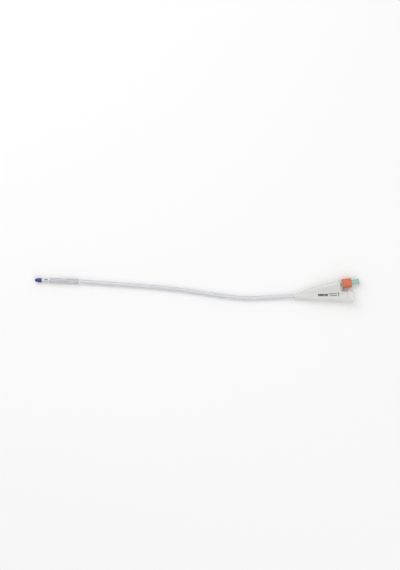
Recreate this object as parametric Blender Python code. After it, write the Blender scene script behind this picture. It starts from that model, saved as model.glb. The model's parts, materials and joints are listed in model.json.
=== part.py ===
"""A two-way silicone Foley catheter, 16 Ch, laid out on a flat surface.

The design frame has its origin on the surface below the nose of the tip. +X runs
along the catheter to the drainage funnel, +Y is the side on which the inflation arm
leaves, and +Z is up. Lengths "along" a piece are read on its own centreline. At the
end the root empty moves the whole model so that its box stands centred on the world's
origin.
"""

import math

import bmesh
import bpy
import numpy as np
from mathutils import Matrix, Vector

MM = 0.001

# Clearances
FIT = 0.3 * MM
OVERCUT = 1.0 * MM

# Shaft: the two-lumen tube
SHAFT_RADIUS = 2.665 * MM
SHAFT_REACH = 320.0 * MM
DRAIN_RADIUS = 1.45 * MM
DRAIN_OFFSET = -0.35 * MM
INFLATION_RADIUS = 0.4 * MM
INFLATION_OFFSET = 1.95 * MM
COURSE = (
    (0.000, 20.3),
    (0.097, 19.5),
    (0.172, 18.5),
    (0.288, 15.8),
    (0.441, 12.1),
    (0.594, 6.7),
    (0.750, -0.5),
    (0.795, -1.8),
    (0.875, -1.6),
    (1.000, 0.0),
)
COURSE_STEP = 1.0 * MM
SHAFT_STATION = 6.8 * MM

# Tip: the moulded nose that plugs the end of the shaft
TIP_LENGTH = 8.6 * MM
NOSE_LENGTH = 5.2 * MM
SPIGOT_LENGTH = 2.4 * MM

# Drainage eyes: two staggered holes behind the tip
EYE_WIDTH = 2.1 * MM
EYE_LENGTH = 4.6 * MM
EYE_PLACES = (14.3 * MM, 15.8 * MM)
EYE_TURN = math.radians(62)

# Balloon: the sleeve bonded over the shaft
BALLOON_START = 18.5 * MM
BALLOON_LENGTH = 35.5 * MM
BALLOON_RADIUS = 3.35 * MM
CUFF_LENGTH = 5.5 * MM
CUFF_RADIUS = 3.2 * MM
CUFF_LIP = 0.18 * MM
PORT_RADIUS = 0.45 * MM
BALLOON_RUN_DOWN = 26.0 * MM

# Drainage funnel
FUNNEL_LENGTH = 70.8 * MM
NECK_RADIUS = 3.5 * MM
NECK_CREST = 2.0 * MM
CREST_RADIUS = 3.95 * MM
BODY_START = 12.0 * MM
BODY_RADIUS = 4.3 * MM
BODY_END_RADIUS = 6.8 * MM
RIM_LENGTH = 6.2 * MM
RIM_RADIUS = 8.0 * MM
RIM_EDGE = 0.6 * MM
SOCKET_DEPTH = 18.0 * MM
CONE_START_RADIUS = 1.9 * MM
MOUTH_RADIUS = 5.1 * MM

# Inflation arm, in the plane seen from above
ARM_LEAVE_ANGLE = math.radians(19.8)
VALVE_ANGLE = math.radians(8.6)
VALVE_ALONG = 67.6 * MM
VALVE_ASIDE = 17.2 * MM
ARM_BEND = 18.0 * MM
ARM_ROOT_ALONG = 1.0 * MM
ARM_ROOT_RADIUS = 3.2 * MM
ARM_RADIUS = 4.2 * MM
ARM_END_RADIUS = 4.6 * MM
ARM_SWELL = 20.0 * MM
CHANNEL_RADIUS = 1.0 * MM
WEB_ALONG = (14.0 * MM, 50.0 * MM)
WEB_THICKNESS = 4.4 * MM
NOTCH_RADIUS = 0.7 * MM
NOTCH_LENGTH = 5.0 * MM
NOTCH_ALONG = 3.5 * MM

# Valve: along its axis from the arm's end, out towards the mouth
SLEEVE_RADIUS = 5.8 * MM
SLEEVE_BACK = 10.0 * MM
SLEEVE_FRONT = 1.2 * MM
SLEEVE_EDGE = 0.5 * MM
FLANGE_RADIUS = 3.75 * MM
FLANGE_THICKNESS = 1.4 * MM
INLET_RADIUS = 3.35 * MM
INLET_LENGTH = 10.8 * MM
INLET_NECK_RADIUS = 2.2 * MM
INLET_NECK_LENGTH = 1.6 * MM
THROAT_RADIUS = 1.35 * MM
LUER_RADIUS = 2.146 * MM
LUER_DEPTH = 8.2 * MM
LUER_TAPER = 0.03
LUG_RADIUS = 3.9 * MM
LUG_WIDTH = 4.4 * MM
LUG_THICKNESS = 1.5 * MM
LUG_SETBACK = 0.4 * MM
BARREL_WALL = 0.6 * MM
BARREL_LENGTH = 12.7 * MM
BARREL_TAPER = 2.0 * MM
BARREL_END_RADIUS = 2.1 * MM
OUTLET_RADIUS = 0.8 * MM
OUTLET_WALL = 1.5 * MM

# Stem, seal and spring inside the barrel
ROD_RADIUS = 0.85 * MM
ROD_REACH = 4.2 * MM
DISC_RADIUS = 2.1 * MM
DISC_THICKNESS = 0.8 * MM
TAIL_RADIUS = 0.7 * MM
TAIL_LENGTH = 4.9 * MM
SEAL_THICKNESS = 0.6 * MM
WIRE_RADIUS = 0.22 * MM
COIL_RADIUS = 1.45 * MM
COIL_TURNS = 7

# Facets
SHAFT_SIDES = 20
LUMEN_SIDES = 12
FINE_SIDES = 8
BODY_SIDES = 28
COIL_SIDES = 6
COIL_STEPS = 14
NOSE_STEPS = 7
SHARP_ANGLE = math.radians(38)


class Route:
    """A centreline read by its length, which runs straight on past both ends."""

    def __init__(self, points):
        self.points = np.array([tuple(point) for point in points])
        steps = np.linalg.norm(np.diff(self.points, axis=0), axis=1)
        self.marks = np.concatenate([[0.0], np.cumsum(steps)])
        self.length = float(self.marks[-1])

    def at(self, along):
        """The point at a length along the route."""
        inside = min(max(along, 0.0), self.length)
        point = Vector([np.interp(inside, self.marks, axis) for axis in self.points.T])
        ends = self.points[:2] if along < 0 else self.points[-2:]
        heading = Vector(ends[1] - ends[0]).normalized()
        return point + heading * (along - inside)

    def place(self, along):
        """The frame there: X along the route, Y level to its left, Z up."""
        ahead = self.at(along + COURSE_STEP / 2) - self.at(along - COURSE_STEP / 2)
        forward = ahead.normalized()
        left = Vector((0, 0, 1)).cross(forward).normalized()
        rise = forward.cross(left)
        frame = Matrix((forward, left, rise)).transposed().to_4x4()
        frame.translation = self.at(along)
        return frame


AXIS = Route([(0, 0, 0), (1, 0, 0)])


def clear_scene():
    """Remove the objects that a new Blender file starts with."""
    for thing in list(bpy.data.objects):
        bpy.data.objects.remove(thing)


def paint(name, colour, roughness, metallic=0.0):
    """A Principled material with one colour."""
    material = bpy.data.materials.new(name)
    material.use_nodes = True
    surface = material.node_tree.nodes["Principled BSDF"]
    surface.inputs["Base Color"].default_value = (*colour, 1.0)
    surface.inputs["Roughness"].default_value = roughness
    surface.inputs["Metallic"].default_value = metallic
    return material


def add_object(name, bm, parent, material):
    """Turn a bmesh into an object that is shaded smooth up to its sharp edges."""
    bmesh.ops.recalc_face_normals(bm, faces=bm.faces)
    mesh = bpy.data.meshes.new(name)
    bm.to_mesh(mesh)
    bm.free()
    mesh.shade_smooth()
    mesh.set_sharp_from_angle(angle=SHARP_ANGLE)
    thing = bpy.data.objects.new(name, mesh)
    bpy.context.collection.objects.link(thing)
    thing.parent = parent
    if material:
        mesh.materials.append(material)
    return thing


def add_ring(bm, frame, radius, sides, aside):
    """The vertices of one round section, or its one middle vertex at radius zero."""
    if radius == 0:
        return [bm.verts.new(frame @ Vector((0, aside, 0)))]
    angles = [2 * math.pi * step / sides for step in range(sides)]
    return [
        bm.verts.new(frame @ Vector((0, aside + radius * math.cos(a), radius * math.sin(a))))
        for a in angles
    ]


def bridge(bm, first, second):
    """Faces between two neighbouring sections."""
    count = max(len(first), len(second))
    for step in range(count):
        turn = (step + 1) % count
        if len(first) == 1:
            bm.faces.new((first[0], second[step], second[turn]))
        elif len(second) == 1:
            bm.faces.new((first[step], second[0], first[turn]))
        else:
            bm.faces.new((first[step], second[step], second[turn], first[turn]))


def swept(name, route, profile, sides, parent, material=None, aside=0.0):
    """A closed round solid along a route, from pairs of length along and radius."""
    bm = bmesh.new()
    rings = [add_ring(bm, route.place(along), r, sides, aside) for along, r in profile]
    for first, second in zip(rings, rings[1:]):
        bridge(bm, first, second)
    for ring in (rings[0], rings[-1]):
        if len(ring) > 1:
            bm.faces.new(ring)
    return add_object(name, bm, parent, material)


def prism(name, outline, bottom, top, parent, frame=None):
    """An outline in X and Y, extruded from bottom to top."""
    bm = bmesh.new()
    place = frame or Matrix()
    floor = bm.faces.new([bm.verts.new((x, y, bottom)) for x, y in outline])
    lifted = bmesh.ops.extrude_face_region(bm, geom=[floor])["geom"]
    corners = [item for item in lifted if isinstance(item, bmesh.types.BMVert)]
    bmesh.ops.translate(bm, verts=corners, vec=(0, 0, top - bottom))
    bmesh.ops.transform(bm, matrix=place, verts=bm.verts)
    return add_object(name, bm, parent, None)


def combine(target, tool, operation="DIFFERENCE"):
    """Cut a tool out of a target, or add it, with the tool itself out of sight."""
    tool.hide_render = True
    tool.display_type = "WIRE"
    boolean = target.modifiers.new(tool.name, "BOOLEAN")
    boolean.operation = operation
    boolean.object = tool


def add_empty(name, parent=None, matrix=None):
    """A guide that carries other objects."""
    guide = bpy.data.objects.new(name, None)
    bpy.context.collection.objects.link(guide)
    guide.parent = parent
    guide.matrix_local = matrix or Matrix()
    return guide


def smoothstep(value):
    """Zero below 0, one above 1, and an even slope-free blend between."""
    value = min(max(value, 0.0), 1.0)
    return value * value * (3 - 2 * value)


def spline_slopes(xs, ys, end_slope):
    """Slopes of the cubic spline through points, free at its start and set at its end."""
    count = len(xs)
    steps = np.diff(xs)
    rises = np.diff(ys) / steps
    rows = np.zeros((count, count))
    right = np.zeros(count)
    rows[0, :2] = 2, 1
    right[0] = 3 * rises[0]
    for i in range(1, count - 1):
        rows[i, i - 1 : i + 2] = steps[i], 2 * (steps[i - 1] + steps[i]), steps[i - 1]
        right[i] = 3 * (steps[i] * rises[i - 1] + steps[i - 1] * rises[i])
    rows[-1, -1] = 1
    right[-1] = end_slope
    return np.linalg.solve(rows, right)


def spline_value(x, xs, ys, slopes):
    """The cubic spline's value at x."""
    i = min(max(int(np.searchsorted(xs, x)) - 1, 0), len(xs) - 2)
    width = xs[i + 1] - xs[i]
    t = (x - xs[i]) / width
    start = ys[i] * (1 + 2 * t) * (1 - t) ** 2 + slopes[i] * width * t * (1 - t) ** 2
    end = ys[i + 1] * t * t * (3 - 2 * t) + slopes[i + 1] * width * t * t * (t - 1)
    return start + end


def funnel_lay():
    """The funnel's upward tilt and its axis height at the neck, lying on rim and crest."""
    rim_start = FUNNEL_LENGTH - RIM_LENGTH
    tilt = math.atan((RIM_RADIUS - CREST_RADIUS) / (rim_start - NECK_CREST))
    return tilt, CREST_RADIUS * math.cos(tilt) - NECK_CREST * math.sin(tilt)


def course_height(x, tilt, neck_height):
    """Axis height of the shaft: up on the balloon, down on the surface, up to the neck."""
    balloon_end = BALLOON_START + BALLOON_LENGTH
    on_balloon = 1 - smoothstep((x - balloon_end) / BALLOON_RUN_DOWN)
    climb = neck_height - SHAFT_RADIUS
    climb_length = 2 * climb / math.tan(tilt)
    share = max(0.0, 1 - (SHAFT_REACH - x) / climb_length)
    return SHAFT_RADIUS + (BALLOON_RADIUS - SHAFT_RADIUS) * on_balloon + climb * share**2


def shaft_course():
    """The shaft's route from the nose to the neck, then straight into the funnel."""
    tilt, neck_height = funnel_lay()
    xs = np.array([share * SHAFT_REACH for share, aside in COURSE])
    ys = np.array([aside * MM for share, aside in COURSE])
    slopes = spline_slopes(xs, ys, 0.0)
    count = round(SHAFT_REACH / COURSE_STEP)
    points = []
    for x in np.linspace(0, SHAFT_REACH, count + 1):
        y = spline_value(x, xs, ys, slopes)
        points.append(Vector((x, y, course_height(x, tilt, neck_height))))
    heading = Vector((math.cos(tilt), 0, math.sin(tilt)))
    neck_along = Route(points).length
    return Route([*points, points[-1] + heading * SOCKET_DEPTH]), neck_along


def funnel_course():
    """The funnel's straight axis, read from the neck."""
    tilt, neck_height = funnel_lay()
    start = Vector((SHAFT_REACH, 0, neck_height))
    return Route([start, start + Vector((math.cos(tilt), 0, math.sin(tilt))) * FUNNEL_LENGTH])


def arm_course(funnel_route):
    """The arm's route, from where it leaves the funnel's axis to the valve's face.

    Seen from above, two straight lines meet in a corner that a bend rounds off. The
    valve's line is level, at the height at which the sleeve lies on the surface.
    """
    end = Vector((SHAFT_REACH + VALVE_ALONG, VALVE_ASIDE, SLEEVE_RADIUS))
    out = Vector((math.cos(VALVE_ANGLE), math.sin(VALVE_ANGLE), 0))
    root = funnel_route.at(ARM_ROOT_ALONG)
    leave, level = math.tan(ARM_LEAVE_ANGLE), math.tan(VALVE_ANGLE)
    valve_line_aside = end.y - level * (end.x - root.x)
    corner_x = root.x + valve_line_aside / (leave - level)
    corner = end - out * ((end.x - corner_x) / out.x)
    inward = (corner - root).normalized()
    bend_start, bend_end = corner - inward * ARM_BEND, corner + out * ARM_BEND
    count = round(2 * ARM_BEND / COURSE_STEP)
    points = [root]
    for t in np.linspace(0, 1, count + 1):
        points.append(bend_start * (1 - t) ** 2 + corner * (2 * t * (1 - t)) + bend_end * t * t)
    points.append(end)
    return Route(points)


def stations(start, end):
    """Even lengths from start to end, about one shaft station apart."""
    return [float(s) for s in np.linspace(start, end, round((end - start) / SHAFT_STATION) + 1)]


def add_eye(route, place, turn, parent):
    """The cutter of one drainage eye: a slot with round ends, out from the lumen."""
    radius = EYE_WIDTH / 2
    half = EYE_LENGTH / 2 - radius
    outline = []
    for step in range(LUMEN_SIDES + 2):
        far = step > LUMEN_SIDES / 2
        angle = math.pi * (step - far) / (LUMEN_SIDES / 2) - math.pi / 2
        middle = -half if far else half
        outline.append((middle + radius * math.cos(angle), radius * math.sin(angle)))
    frame = route.place(place) @ Matrix.Rotation(turn - math.pi / 2, 4, "X")
    name = f"eye_cut_{round(math.degrees(turn))}"
    return prism(name, outline, DRAIN_RADIUS / 2, SHAFT_RADIUS + OVERCUT, parent, frame)


def add_shaft(route, neck_along, parent):
    """The tube with its drainage lumen, blind inflation lumen, eyes, port and notch."""
    start, end = TIP_LENGTH, neck_along + SOCKET_DEPTH - FIT
    steps = stations(start, end)
    silicone = paint("shaft_silicone", (0.72, 0.72, 0.78), 0.35)
    shaft = swept("shaft", route, [(s, SHAFT_RADIUS) for s in steps], SHAFT_SIDES, parent, silicone)

    drain = [(s, DRAIN_RADIUS) for s in (start - OVERCUT, *steps[1:-1], end + OVERCUT)]
    combine(shaft, swept("drain_cut", route, drain, LUMEN_SIDES, parent, aside=DRAIN_OFFSET))

    notch = neck_along + NOTCH_ALONG
    port = BALLOON_START + BALLOON_LENGTH / 2
    blind_end = notch + NOTCH_LENGTH / 2
    inflation = [(s, INFLATION_RADIUS) for s in stations(port - 2 * PORT_RADIUS, blind_end)]
    cut = swept("inflation_cut", route, inflation, FINE_SIDES, parent, aside=INFLATION_OFFSET)
    combine(shaft, cut)

    port_frame = route.place(port)
    left = port_frame.to_3x3() @ Vector((0, 1, 0))
    inner = port_frame.translation + left * INFLATION_OFFSET
    outward = Route([inner, inner + left * SHAFT_RADIUS])
    hole = [(0, PORT_RADIUS), (SHAFT_RADIUS, PORT_RADIUS)]
    combine(shaft, swept("port_cut", outward, hole, FINE_SIDES, parent))

    skive = [(notch, NOTCH_RADIUS), (notch + NOTCH_LENGTH, NOTCH_RADIUS)]
    skive_aside = SHAFT_RADIUS - NOTCH_RADIUS / 3
    combine(shaft, swept("notch_cut", route, skive, LUMEN_SIDES, parent, aside=skive_aside))

    for place, turn in zip(EYE_PLACES, (EYE_TURN, EYE_TURN + math.pi)):
        combine(shaft, add_eye(route, place, turn, parent))
    return shaft


def add_tip(route, parent):
    """The round nose, with a spigot that sits in the drainage lumen."""
    blue = paint("tip_blue", (0.06, 0.09, 0.38), 0.4)
    profile = [(0.0, 0.0)]
    for step in range(1, NOSE_STEPS + 1):
        angle = math.pi / 2 * step / NOSE_STEPS
        along = NOSE_LENGTH * (1 - math.cos(angle))
        profile.append((along, SHAFT_RADIUS * math.sin(angle)))
    profile.append((TIP_LENGTH - FIT, SHAFT_RADIUS))
    tip = swept("tip", route, profile, SHAFT_SIDES, parent, blue)
    radius = DRAIN_RADIUS - FIT
    spigot = [(NOSE_LENGTH, radius), (TIP_LENGTH - FIT + SPIGOT_LENGTH, radius)]
    core = swept("spigot_join", route, spigot, LUMEN_SIDES, parent, aside=DRAIN_OFFSET)
    combine(tip, core, "UNION")
    return tip


def add_balloon(route, parent):
    """The empty balloon: a thin sleeve with a bonded cuff at each end."""
    clear = paint("balloon_silicone", (0.70, 0.71, 0.78), 0.4)
    bore = SHAFT_RADIUS + FIT
    end = BALLOON_START + BALLOON_LENGTH
    lip = CUFF_LENGTH / 8
    front = [(0, bore + CUFF_LIP), (lip, CUFF_RADIUS), (CUFF_LENGTH, CUFF_RADIUS)]
    front.append((CUFF_LENGTH + 2 * lip, BALLOON_RADIUS))
    wall = stations(BALLOON_START + CUFF_LENGTH + 2 * lip, end - CUFF_LENGTH - 2 * lip)
    profile = [(BALLOON_START + along, radius) for along, radius in front]
    profile += [(along, BALLOON_RADIUS) for along in wall[1:-1]]
    profile += [(end - along, radius) for along, radius in reversed(front)]
    balloon = swept("balloon", route, profile, SHAFT_SIDES + 4, parent, clear)
    core = [(s, bore) for s in stations(BALLOON_START - OVERCUT, end + OVERCUT)]
    combine(balloon, swept("balloon_cut", route, core, SHAFT_SIDES + 4, parent))
    return balloon


def funnel_outline():
    """Outer radii of the funnel from the neck to the rim."""
    rim_start = FUNNEL_LENGTH - RIM_LENGTH
    return [
        (0, NECK_RADIUS),
        (NECK_CREST, CREST_RADIUS),
        (BODY_START, BODY_RADIUS),
        (rim_start - RIM_EDGE, BODY_END_RADIUS),
        (rim_start, RIM_RADIUS),
        (FUNNEL_LENGTH - RIM_EDGE, RIM_RADIUS),
        (FUNNEL_LENGTH, RIM_RADIUS - RIM_EDGE),
    ]


def arm_outline(arm_route):
    """Outer radii of the arm from its root in the funnel to its end face."""
    pocket_back = arm_route.length - BARREL_LENGTH - ARM_BEND / 4
    even = np.linspace(ARM_SWELL, pocket_back, 9)
    body = [(float(s), ARM_RADIUS) for s in even[:-1]]
    end = arm_route.length - FIT
    return [
        (0, ARM_ROOT_RADIUS),
        (ARM_SWELL / 2, (ARM_ROOT_RADIUS + ARM_RADIUS) / 2),
        *body,
        (pocket_back, ARM_END_RADIUS),
        (end - RIM_EDGE, ARM_END_RADIUS),
        (end, ARM_END_RADIUS - RIM_EDGE / 2),
    ]


def add_web(funnel_route, arm_route, parent):
    """The web that fills the crotch between the funnel and the arm."""
    near, far = WEB_ALONG
    corners = [funnel_route.at(near), funnel_route.at(far), arm_route.at(far), arm_route.at(near)]
    outline = [(corner.x, corner.y) for corner in corners]
    middle = sum(corner.z for corner in corners) / len(corners)
    bottom, top = middle - WEB_THICKNESS / 2, middle + WEB_THICKNESS / 2
    return prism("web_join", outline, bottom, top, parent)


def add_funnel(funnel_route, arm_route, parent):
    """The moulded Y: drainage funnel and inflation arm in one piece."""
    silicone = paint("funnel_silicone", (0.68, 0.67, 0.62), 0.45)
    outline = funnel_outline()
    funnel = swept("funnel", funnel_route, outline, BODY_SIDES, parent, silicone)
    arm = swept("arm_join", arm_route, arm_outline(arm_route), BODY_SIDES - 4, parent)
    combine(funnel, arm, "UNION")
    combine(funnel, add_web(funnel_route, arm_route, parent), "UNION")

    bore = SHAFT_RADIUS + FIT
    socket = [(-OVERCUT, bore), (SOCKET_DEPTH, bore)]
    combine(funnel, swept("socket_cut", funnel_route, socket, SHAFT_SIDES, parent))
    slope = (MOUTH_RADIUS - CONE_START_RADIUS) / (FUNNEL_LENGTH - SOCKET_DEPTH)
    cone = [
        (SOCKET_DEPTH - OVERCUT, CONE_START_RADIUS - slope * OVERCUT),
        (FUNNEL_LENGTH + OVERCUT, MOUTH_RADIUS + slope * OVERCUT),
    ]
    combine(funnel, swept("cone_cut", funnel_route, cone, BODY_SIDES - 4, parent))

    face = arm_route.length
    barrel_radius = chamber_radius() + BARREL_WALL
    taper_start = face - FIT - BARREL_LENGTH + BARREL_TAPER
    pocket_end = face - 2 * FIT - BARREL_LENGTH
    pocket = [
        (pocket_end, BARREL_END_RADIUS + FIT),
        (taper_start - FIT, barrel_radius + FIT),
        (face + OVERCUT, barrel_radius + FIT),
    ]
    combine(funnel, swept("pocket_cut", arm_route, pocket, SHAFT_SIDES, parent))
    notch_middle = NOTCH_ALONG + NOTCH_LENGTH / 2
    channel_steps = stations(notch_middle, pocket_end + OVERCUT)
    channel = [(s, CHANNEL_RADIUS) for s in channel_steps]
    combine(funnel, swept("channel_cut", arm_route, channel, LUMEN_SIDES, parent))
    return funnel


def chamber_radius():
    """Inner radius of the barrel, which the stem's disc and the inlet's neck clear."""
    return max(DISC_RADIUS + FIT, INLET_NECK_RADIUS + FIT)


def add_sleeve(valve):
    """The coloured collar that grips the arm's end and holds the inlet's flange."""
    orange = paint("sleeve_orange", (0.62, 0.17, 0.07), 0.45)
    outline = [
        (-SLEEVE_BACK, SLEEVE_RADIUS - SLEEVE_EDGE),
        (-SLEEVE_BACK + SLEEVE_EDGE, SLEEVE_RADIUS),
        (SLEEVE_FRONT - SLEEVE_EDGE, SLEEVE_RADIUS),
        (SLEEVE_FRONT, SLEEVE_RADIUS - SLEEVE_EDGE),
    ]
    sleeve = swept("valve_sleeve", AXIS, outline, BODY_SIDES, valve, orange)
    inner, lip = ARM_END_RADIUS + FIT, FLANGE_RADIUS + FIT
    bore = [
        (-SLEEVE_BACK - OVERCUT, inner),
        (FIT, inner),
        (FIT, lip),
        (SLEEVE_FRONT + OVERCUT, lip),
    ]
    combine(sleeve, swept("sleeve_cut", AXIS, bore, BODY_SIDES - 4, valve))
    return sleeve


def add_inlet(valve):
    """The female luer inlet: flange, tapered socket, two lock lugs and the valve's seat."""
    teal = paint("valve_teal", (0.22, 0.52, 0.47), 0.35)
    outline = [
        (-INLET_NECK_LENGTH, INLET_NECK_RADIUS),
        (0, INLET_NECK_RADIUS),
        (0, FLANGE_RADIUS),
        (FLANGE_THICKNESS, FLANGE_RADIUS),
        (FLANGE_THICKNESS, INLET_RADIUS),
        (INLET_LENGTH, INLET_RADIUS),
    ]
    inlet = swept("valve_inlet", AXIS, outline, BODY_SIDES, valve, teal)
    lug_end = INLET_LENGTH - LUG_SETBACK
    disc = [(lug_end - LUG_THICKNESS, LUG_RADIUS), (lug_end, LUG_RADIUS)]
    lugs = swept("lug_join", AXIS, disc, BODY_SIDES - 4, valve)
    half, wide = LUG_WIDTH / 2, SLEEVE_RADIUS
    band = [(0, -wide), (INLET_LENGTH, -wide), (INLET_LENGTH, wide), (0, wide)]
    keep = prism("lug_keep", band, -half, half, valve)
    combine(lugs, keep, "INTERSECT")
    combine(inlet, lugs, "UNION")

    luer_bottom = INLET_LENGTH - LUER_DEPTH
    bore = [
        (-INLET_NECK_LENGTH - OVERCUT, THROAT_RADIUS),
        (luer_bottom, THROAT_RADIUS),
        (luer_bottom, LUER_RADIUS - LUER_TAPER * LUER_DEPTH),
        (INLET_LENGTH + OVERCUT, LUER_RADIUS + LUER_TAPER * OVERCUT),
    ]
    combine(inlet, swept("luer_cut", AXIS, bore, SHAFT_SIDES, valve))
    return inlet


def add_barrel(valve):
    """The valve's inner housing in the arm's pocket, with an outlet at its back."""
    plastic = paint("barrel_plastic", (0.35, 0.42, 0.40), 0.4)
    radius = chamber_radius() + BARREL_WALL
    back = -FIT - BARREL_LENGTH
    outline = [(back, BARREL_END_RADIUS), (back + BARREL_TAPER, radius), (-FIT, radius)]
    barrel = swept("valve_barrel", AXIS, outline, SHAFT_SIDES, valve, plastic)
    chamber = [(back + OUTLET_WALL, chamber_radius()), (OVERCUT, chamber_radius())]
    combine(barrel, swept("chamber_cut", AXIS, chamber, SHAFT_SIDES, valve))
    outlet = [(back - OVERCUT, OUTLET_RADIUS), (back + 2 * OUTLET_WALL, OUTLET_RADIUS)]
    combine(barrel, swept("outlet_cut", AXIS, outlet, LUMEN_SIDES, valve))
    return barrel


def disc_front():
    """Where the stem's disc begins, behind the seal and the inlet's seat."""
    return -INLET_NECK_LENGTH - 2 * FIT - SEAL_THICKNESS


def add_stem(valve):
    """The plunger: a rod up into the luer socket, a disc and a tail inside the spring."""
    white = paint("stem_white", (0.80, 0.82, 0.80), 0.4)
    front = disc_front()
    back = front - DISC_THICKNESS
    edge = ROD_RADIUS / 4
    outline = [
        (back - TAIL_LENGTH, TAIL_RADIUS - edge),
        (back - TAIL_LENGTH + edge, TAIL_RADIUS),
        (back, TAIL_RADIUS),
        (back, DISC_RADIUS),
        (front, DISC_RADIUS),
        (front, ROD_RADIUS),
        (ROD_REACH - edge, ROD_RADIUS),
        (ROD_REACH, ROD_RADIUS - edge),
    ]
    return swept("valve_stem", AXIS, outline, SHAFT_SIDES, valve, white)


def add_seal(valve):
    """The washer between the stem's disc and the inlet's seat."""
    rubber = paint("seal_rubber", (0.10, 0.10, 0.11), 0.6)
    back = disc_front() + FIT
    ring = [(back, DISC_RADIUS), (back + SEAL_THICKNESS, DISC_RADIUS)]
    seal = swept("valve_seal", AXIS, ring, SHAFT_SIDES, valve, rubber)
    bore = ROD_RADIUS + FIT
    hole = [(back - OVERCUT, bore), (back + SEAL_THICKNESS + OVERCUT, bore)]
    combine(seal, swept("seal_cut", AXIS, hole, LUMEN_SIDES, valve))
    return seal


def add_spring(valve):
    """The coil that holds the stem's disc forward."""
    steel = paint("spring_steel", (0.62, 0.63, 0.65), 0.3, 1.0)
    front = disc_front() - DISC_THICKNESS - FIT - WIRE_RADIUS
    back = -FIT - BARREL_LENGTH + OUTLET_WALL + FIT + WIRE_RADIUS
    count = COIL_TURNS * COIL_STEPS
    bm = bmesh.new()
    rings = []
    for step in range(count + 1):
        share = step / count
        turn = 2 * math.pi * COIL_TURNS * share
        frame = Matrix.Translation(((front + (back - front) * share), 0, 0))
        frame = frame @ Matrix.Rotation(turn, 4, "X")
        angles = [2 * math.pi * side / COIL_SIDES for side in range(COIL_SIDES)]
        rings.append(
            [
                bm.verts.new(
                    frame
                    @ Vector((WIRE_RADIUS * math.sin(a), COIL_RADIUS + WIRE_RADIUS * math.cos(a), 0))
                )
                for a in angles
            ]
        )
    for first, second in zip(rings, rings[1:]):
        bridge(bm, first, second)
    bm.faces.new(rings[0])
    bm.faces.new(rings[-1])
    return add_object("valve_spring", bm, valve, steel)


def settle(root):
    """Move the model so that its box stands centred on the world's origin."""
    bpy.context.view_layer.update()
    graph = bpy.context.evaluated_depsgraph_get()
    corners = []
    for thing in bpy.data.objects:
        if thing.type == "MESH" and not thing.hide_render:
            solid = thing.evaluated_get(graph)
            corners += [solid.matrix_world @ vertex.co for vertex in solid.data.vertices]
    low = Vector([min(corner[axis] for corner in corners) for axis in range(3)])
    high = Vector([max(corner[axis] for corner in corners) for axis in range(3)])
    middle = (low + high) / 2
    root.location = (-middle.x, -middle.y, -low.z)


def build():
    """Build the whole catheter under one root empty."""
    clear_scene()
    root = add_empty("catheter")
    shaft_route, neck_along = shaft_course()
    funnel_route = funnel_course()
    arm_route = arm_course(funnel_route)
    valve = add_empty("valve_axis", root, arm_route.place(arm_route.length))
    add_shaft(shaft_route, neck_along, root)
    add_tip(shaft_route, root)
    add_balloon(shaft_route, root)
    add_funnel(funnel_route, arm_route, root)
    add_sleeve(valve)
    add_inlet(valve)
    add_barrel(valve)
    add_stem(valve)
    add_seal(valve)
    add_spring(valve)
    settle(root)


build()
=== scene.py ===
"""The looks of a two-way silicone Foley catheter that lies on a pale surface.

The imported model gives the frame. Each sub-assembly below makes the fine meshes that
stand for its solids, on the same centrelines and at the same sizes, and gives them
their finish: milky silicone, blue nose, orange collar and teal luer valve.
"""

from __future__ import annotations

import json
import logging
import math
from dataclasses import dataclass, field
from enum import Enum
from typing import Iterable, Sequence

import bmesh
import bpy
import numpy as np
from mathutils import Matrix, Vector
from mathutils.bvhtree import BVHTree

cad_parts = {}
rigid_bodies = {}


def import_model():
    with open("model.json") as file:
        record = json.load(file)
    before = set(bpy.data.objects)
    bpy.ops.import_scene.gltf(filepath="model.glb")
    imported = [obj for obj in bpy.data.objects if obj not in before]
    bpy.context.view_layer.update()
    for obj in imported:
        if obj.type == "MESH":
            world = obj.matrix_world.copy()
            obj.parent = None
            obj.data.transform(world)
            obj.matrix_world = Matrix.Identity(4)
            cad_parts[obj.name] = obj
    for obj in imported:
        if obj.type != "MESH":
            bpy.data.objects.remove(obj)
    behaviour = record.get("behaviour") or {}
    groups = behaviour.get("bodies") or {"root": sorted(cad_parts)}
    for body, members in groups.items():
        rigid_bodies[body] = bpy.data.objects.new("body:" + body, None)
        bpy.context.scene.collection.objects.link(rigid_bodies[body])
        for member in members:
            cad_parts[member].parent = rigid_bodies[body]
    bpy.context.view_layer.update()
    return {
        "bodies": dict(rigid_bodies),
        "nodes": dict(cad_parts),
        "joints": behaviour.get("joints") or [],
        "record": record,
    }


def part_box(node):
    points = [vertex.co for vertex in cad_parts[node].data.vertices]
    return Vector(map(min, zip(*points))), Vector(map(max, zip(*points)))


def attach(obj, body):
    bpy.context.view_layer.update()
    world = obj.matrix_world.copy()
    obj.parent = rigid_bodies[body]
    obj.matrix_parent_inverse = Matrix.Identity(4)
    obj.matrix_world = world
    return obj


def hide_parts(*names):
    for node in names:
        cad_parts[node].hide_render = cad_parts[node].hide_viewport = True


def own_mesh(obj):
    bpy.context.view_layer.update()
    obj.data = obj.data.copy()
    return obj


MM = 0.001
TINY = 1e-9
WELD = 1e-7
BLOCK = 4000
FILLET_SHARE = 0.48
LOG = logging.getLogger("catheter")
MAIN_BODY, PLUNGER_BODY = "catheter", "plunger"
SECTION_ATTRIBUTE, RISE_ATTRIBUTE = "section", "rise"

Colour = tuple[float, float, float]
Outline = list[tuple[float, float]]
Thing = bpy.types.Object
Node = bpy.types.Node
Socket = bpy.types.NodeSocket
Group = bpy.types.NodeTree
Rows = np.ndarray


class Cut(Enum):
    """What a Boolean does with its second solid."""

    AWAY = "DIFFERENCE"
    JOIN = "UNION"
    KEEP = "INTERSECT"


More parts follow.
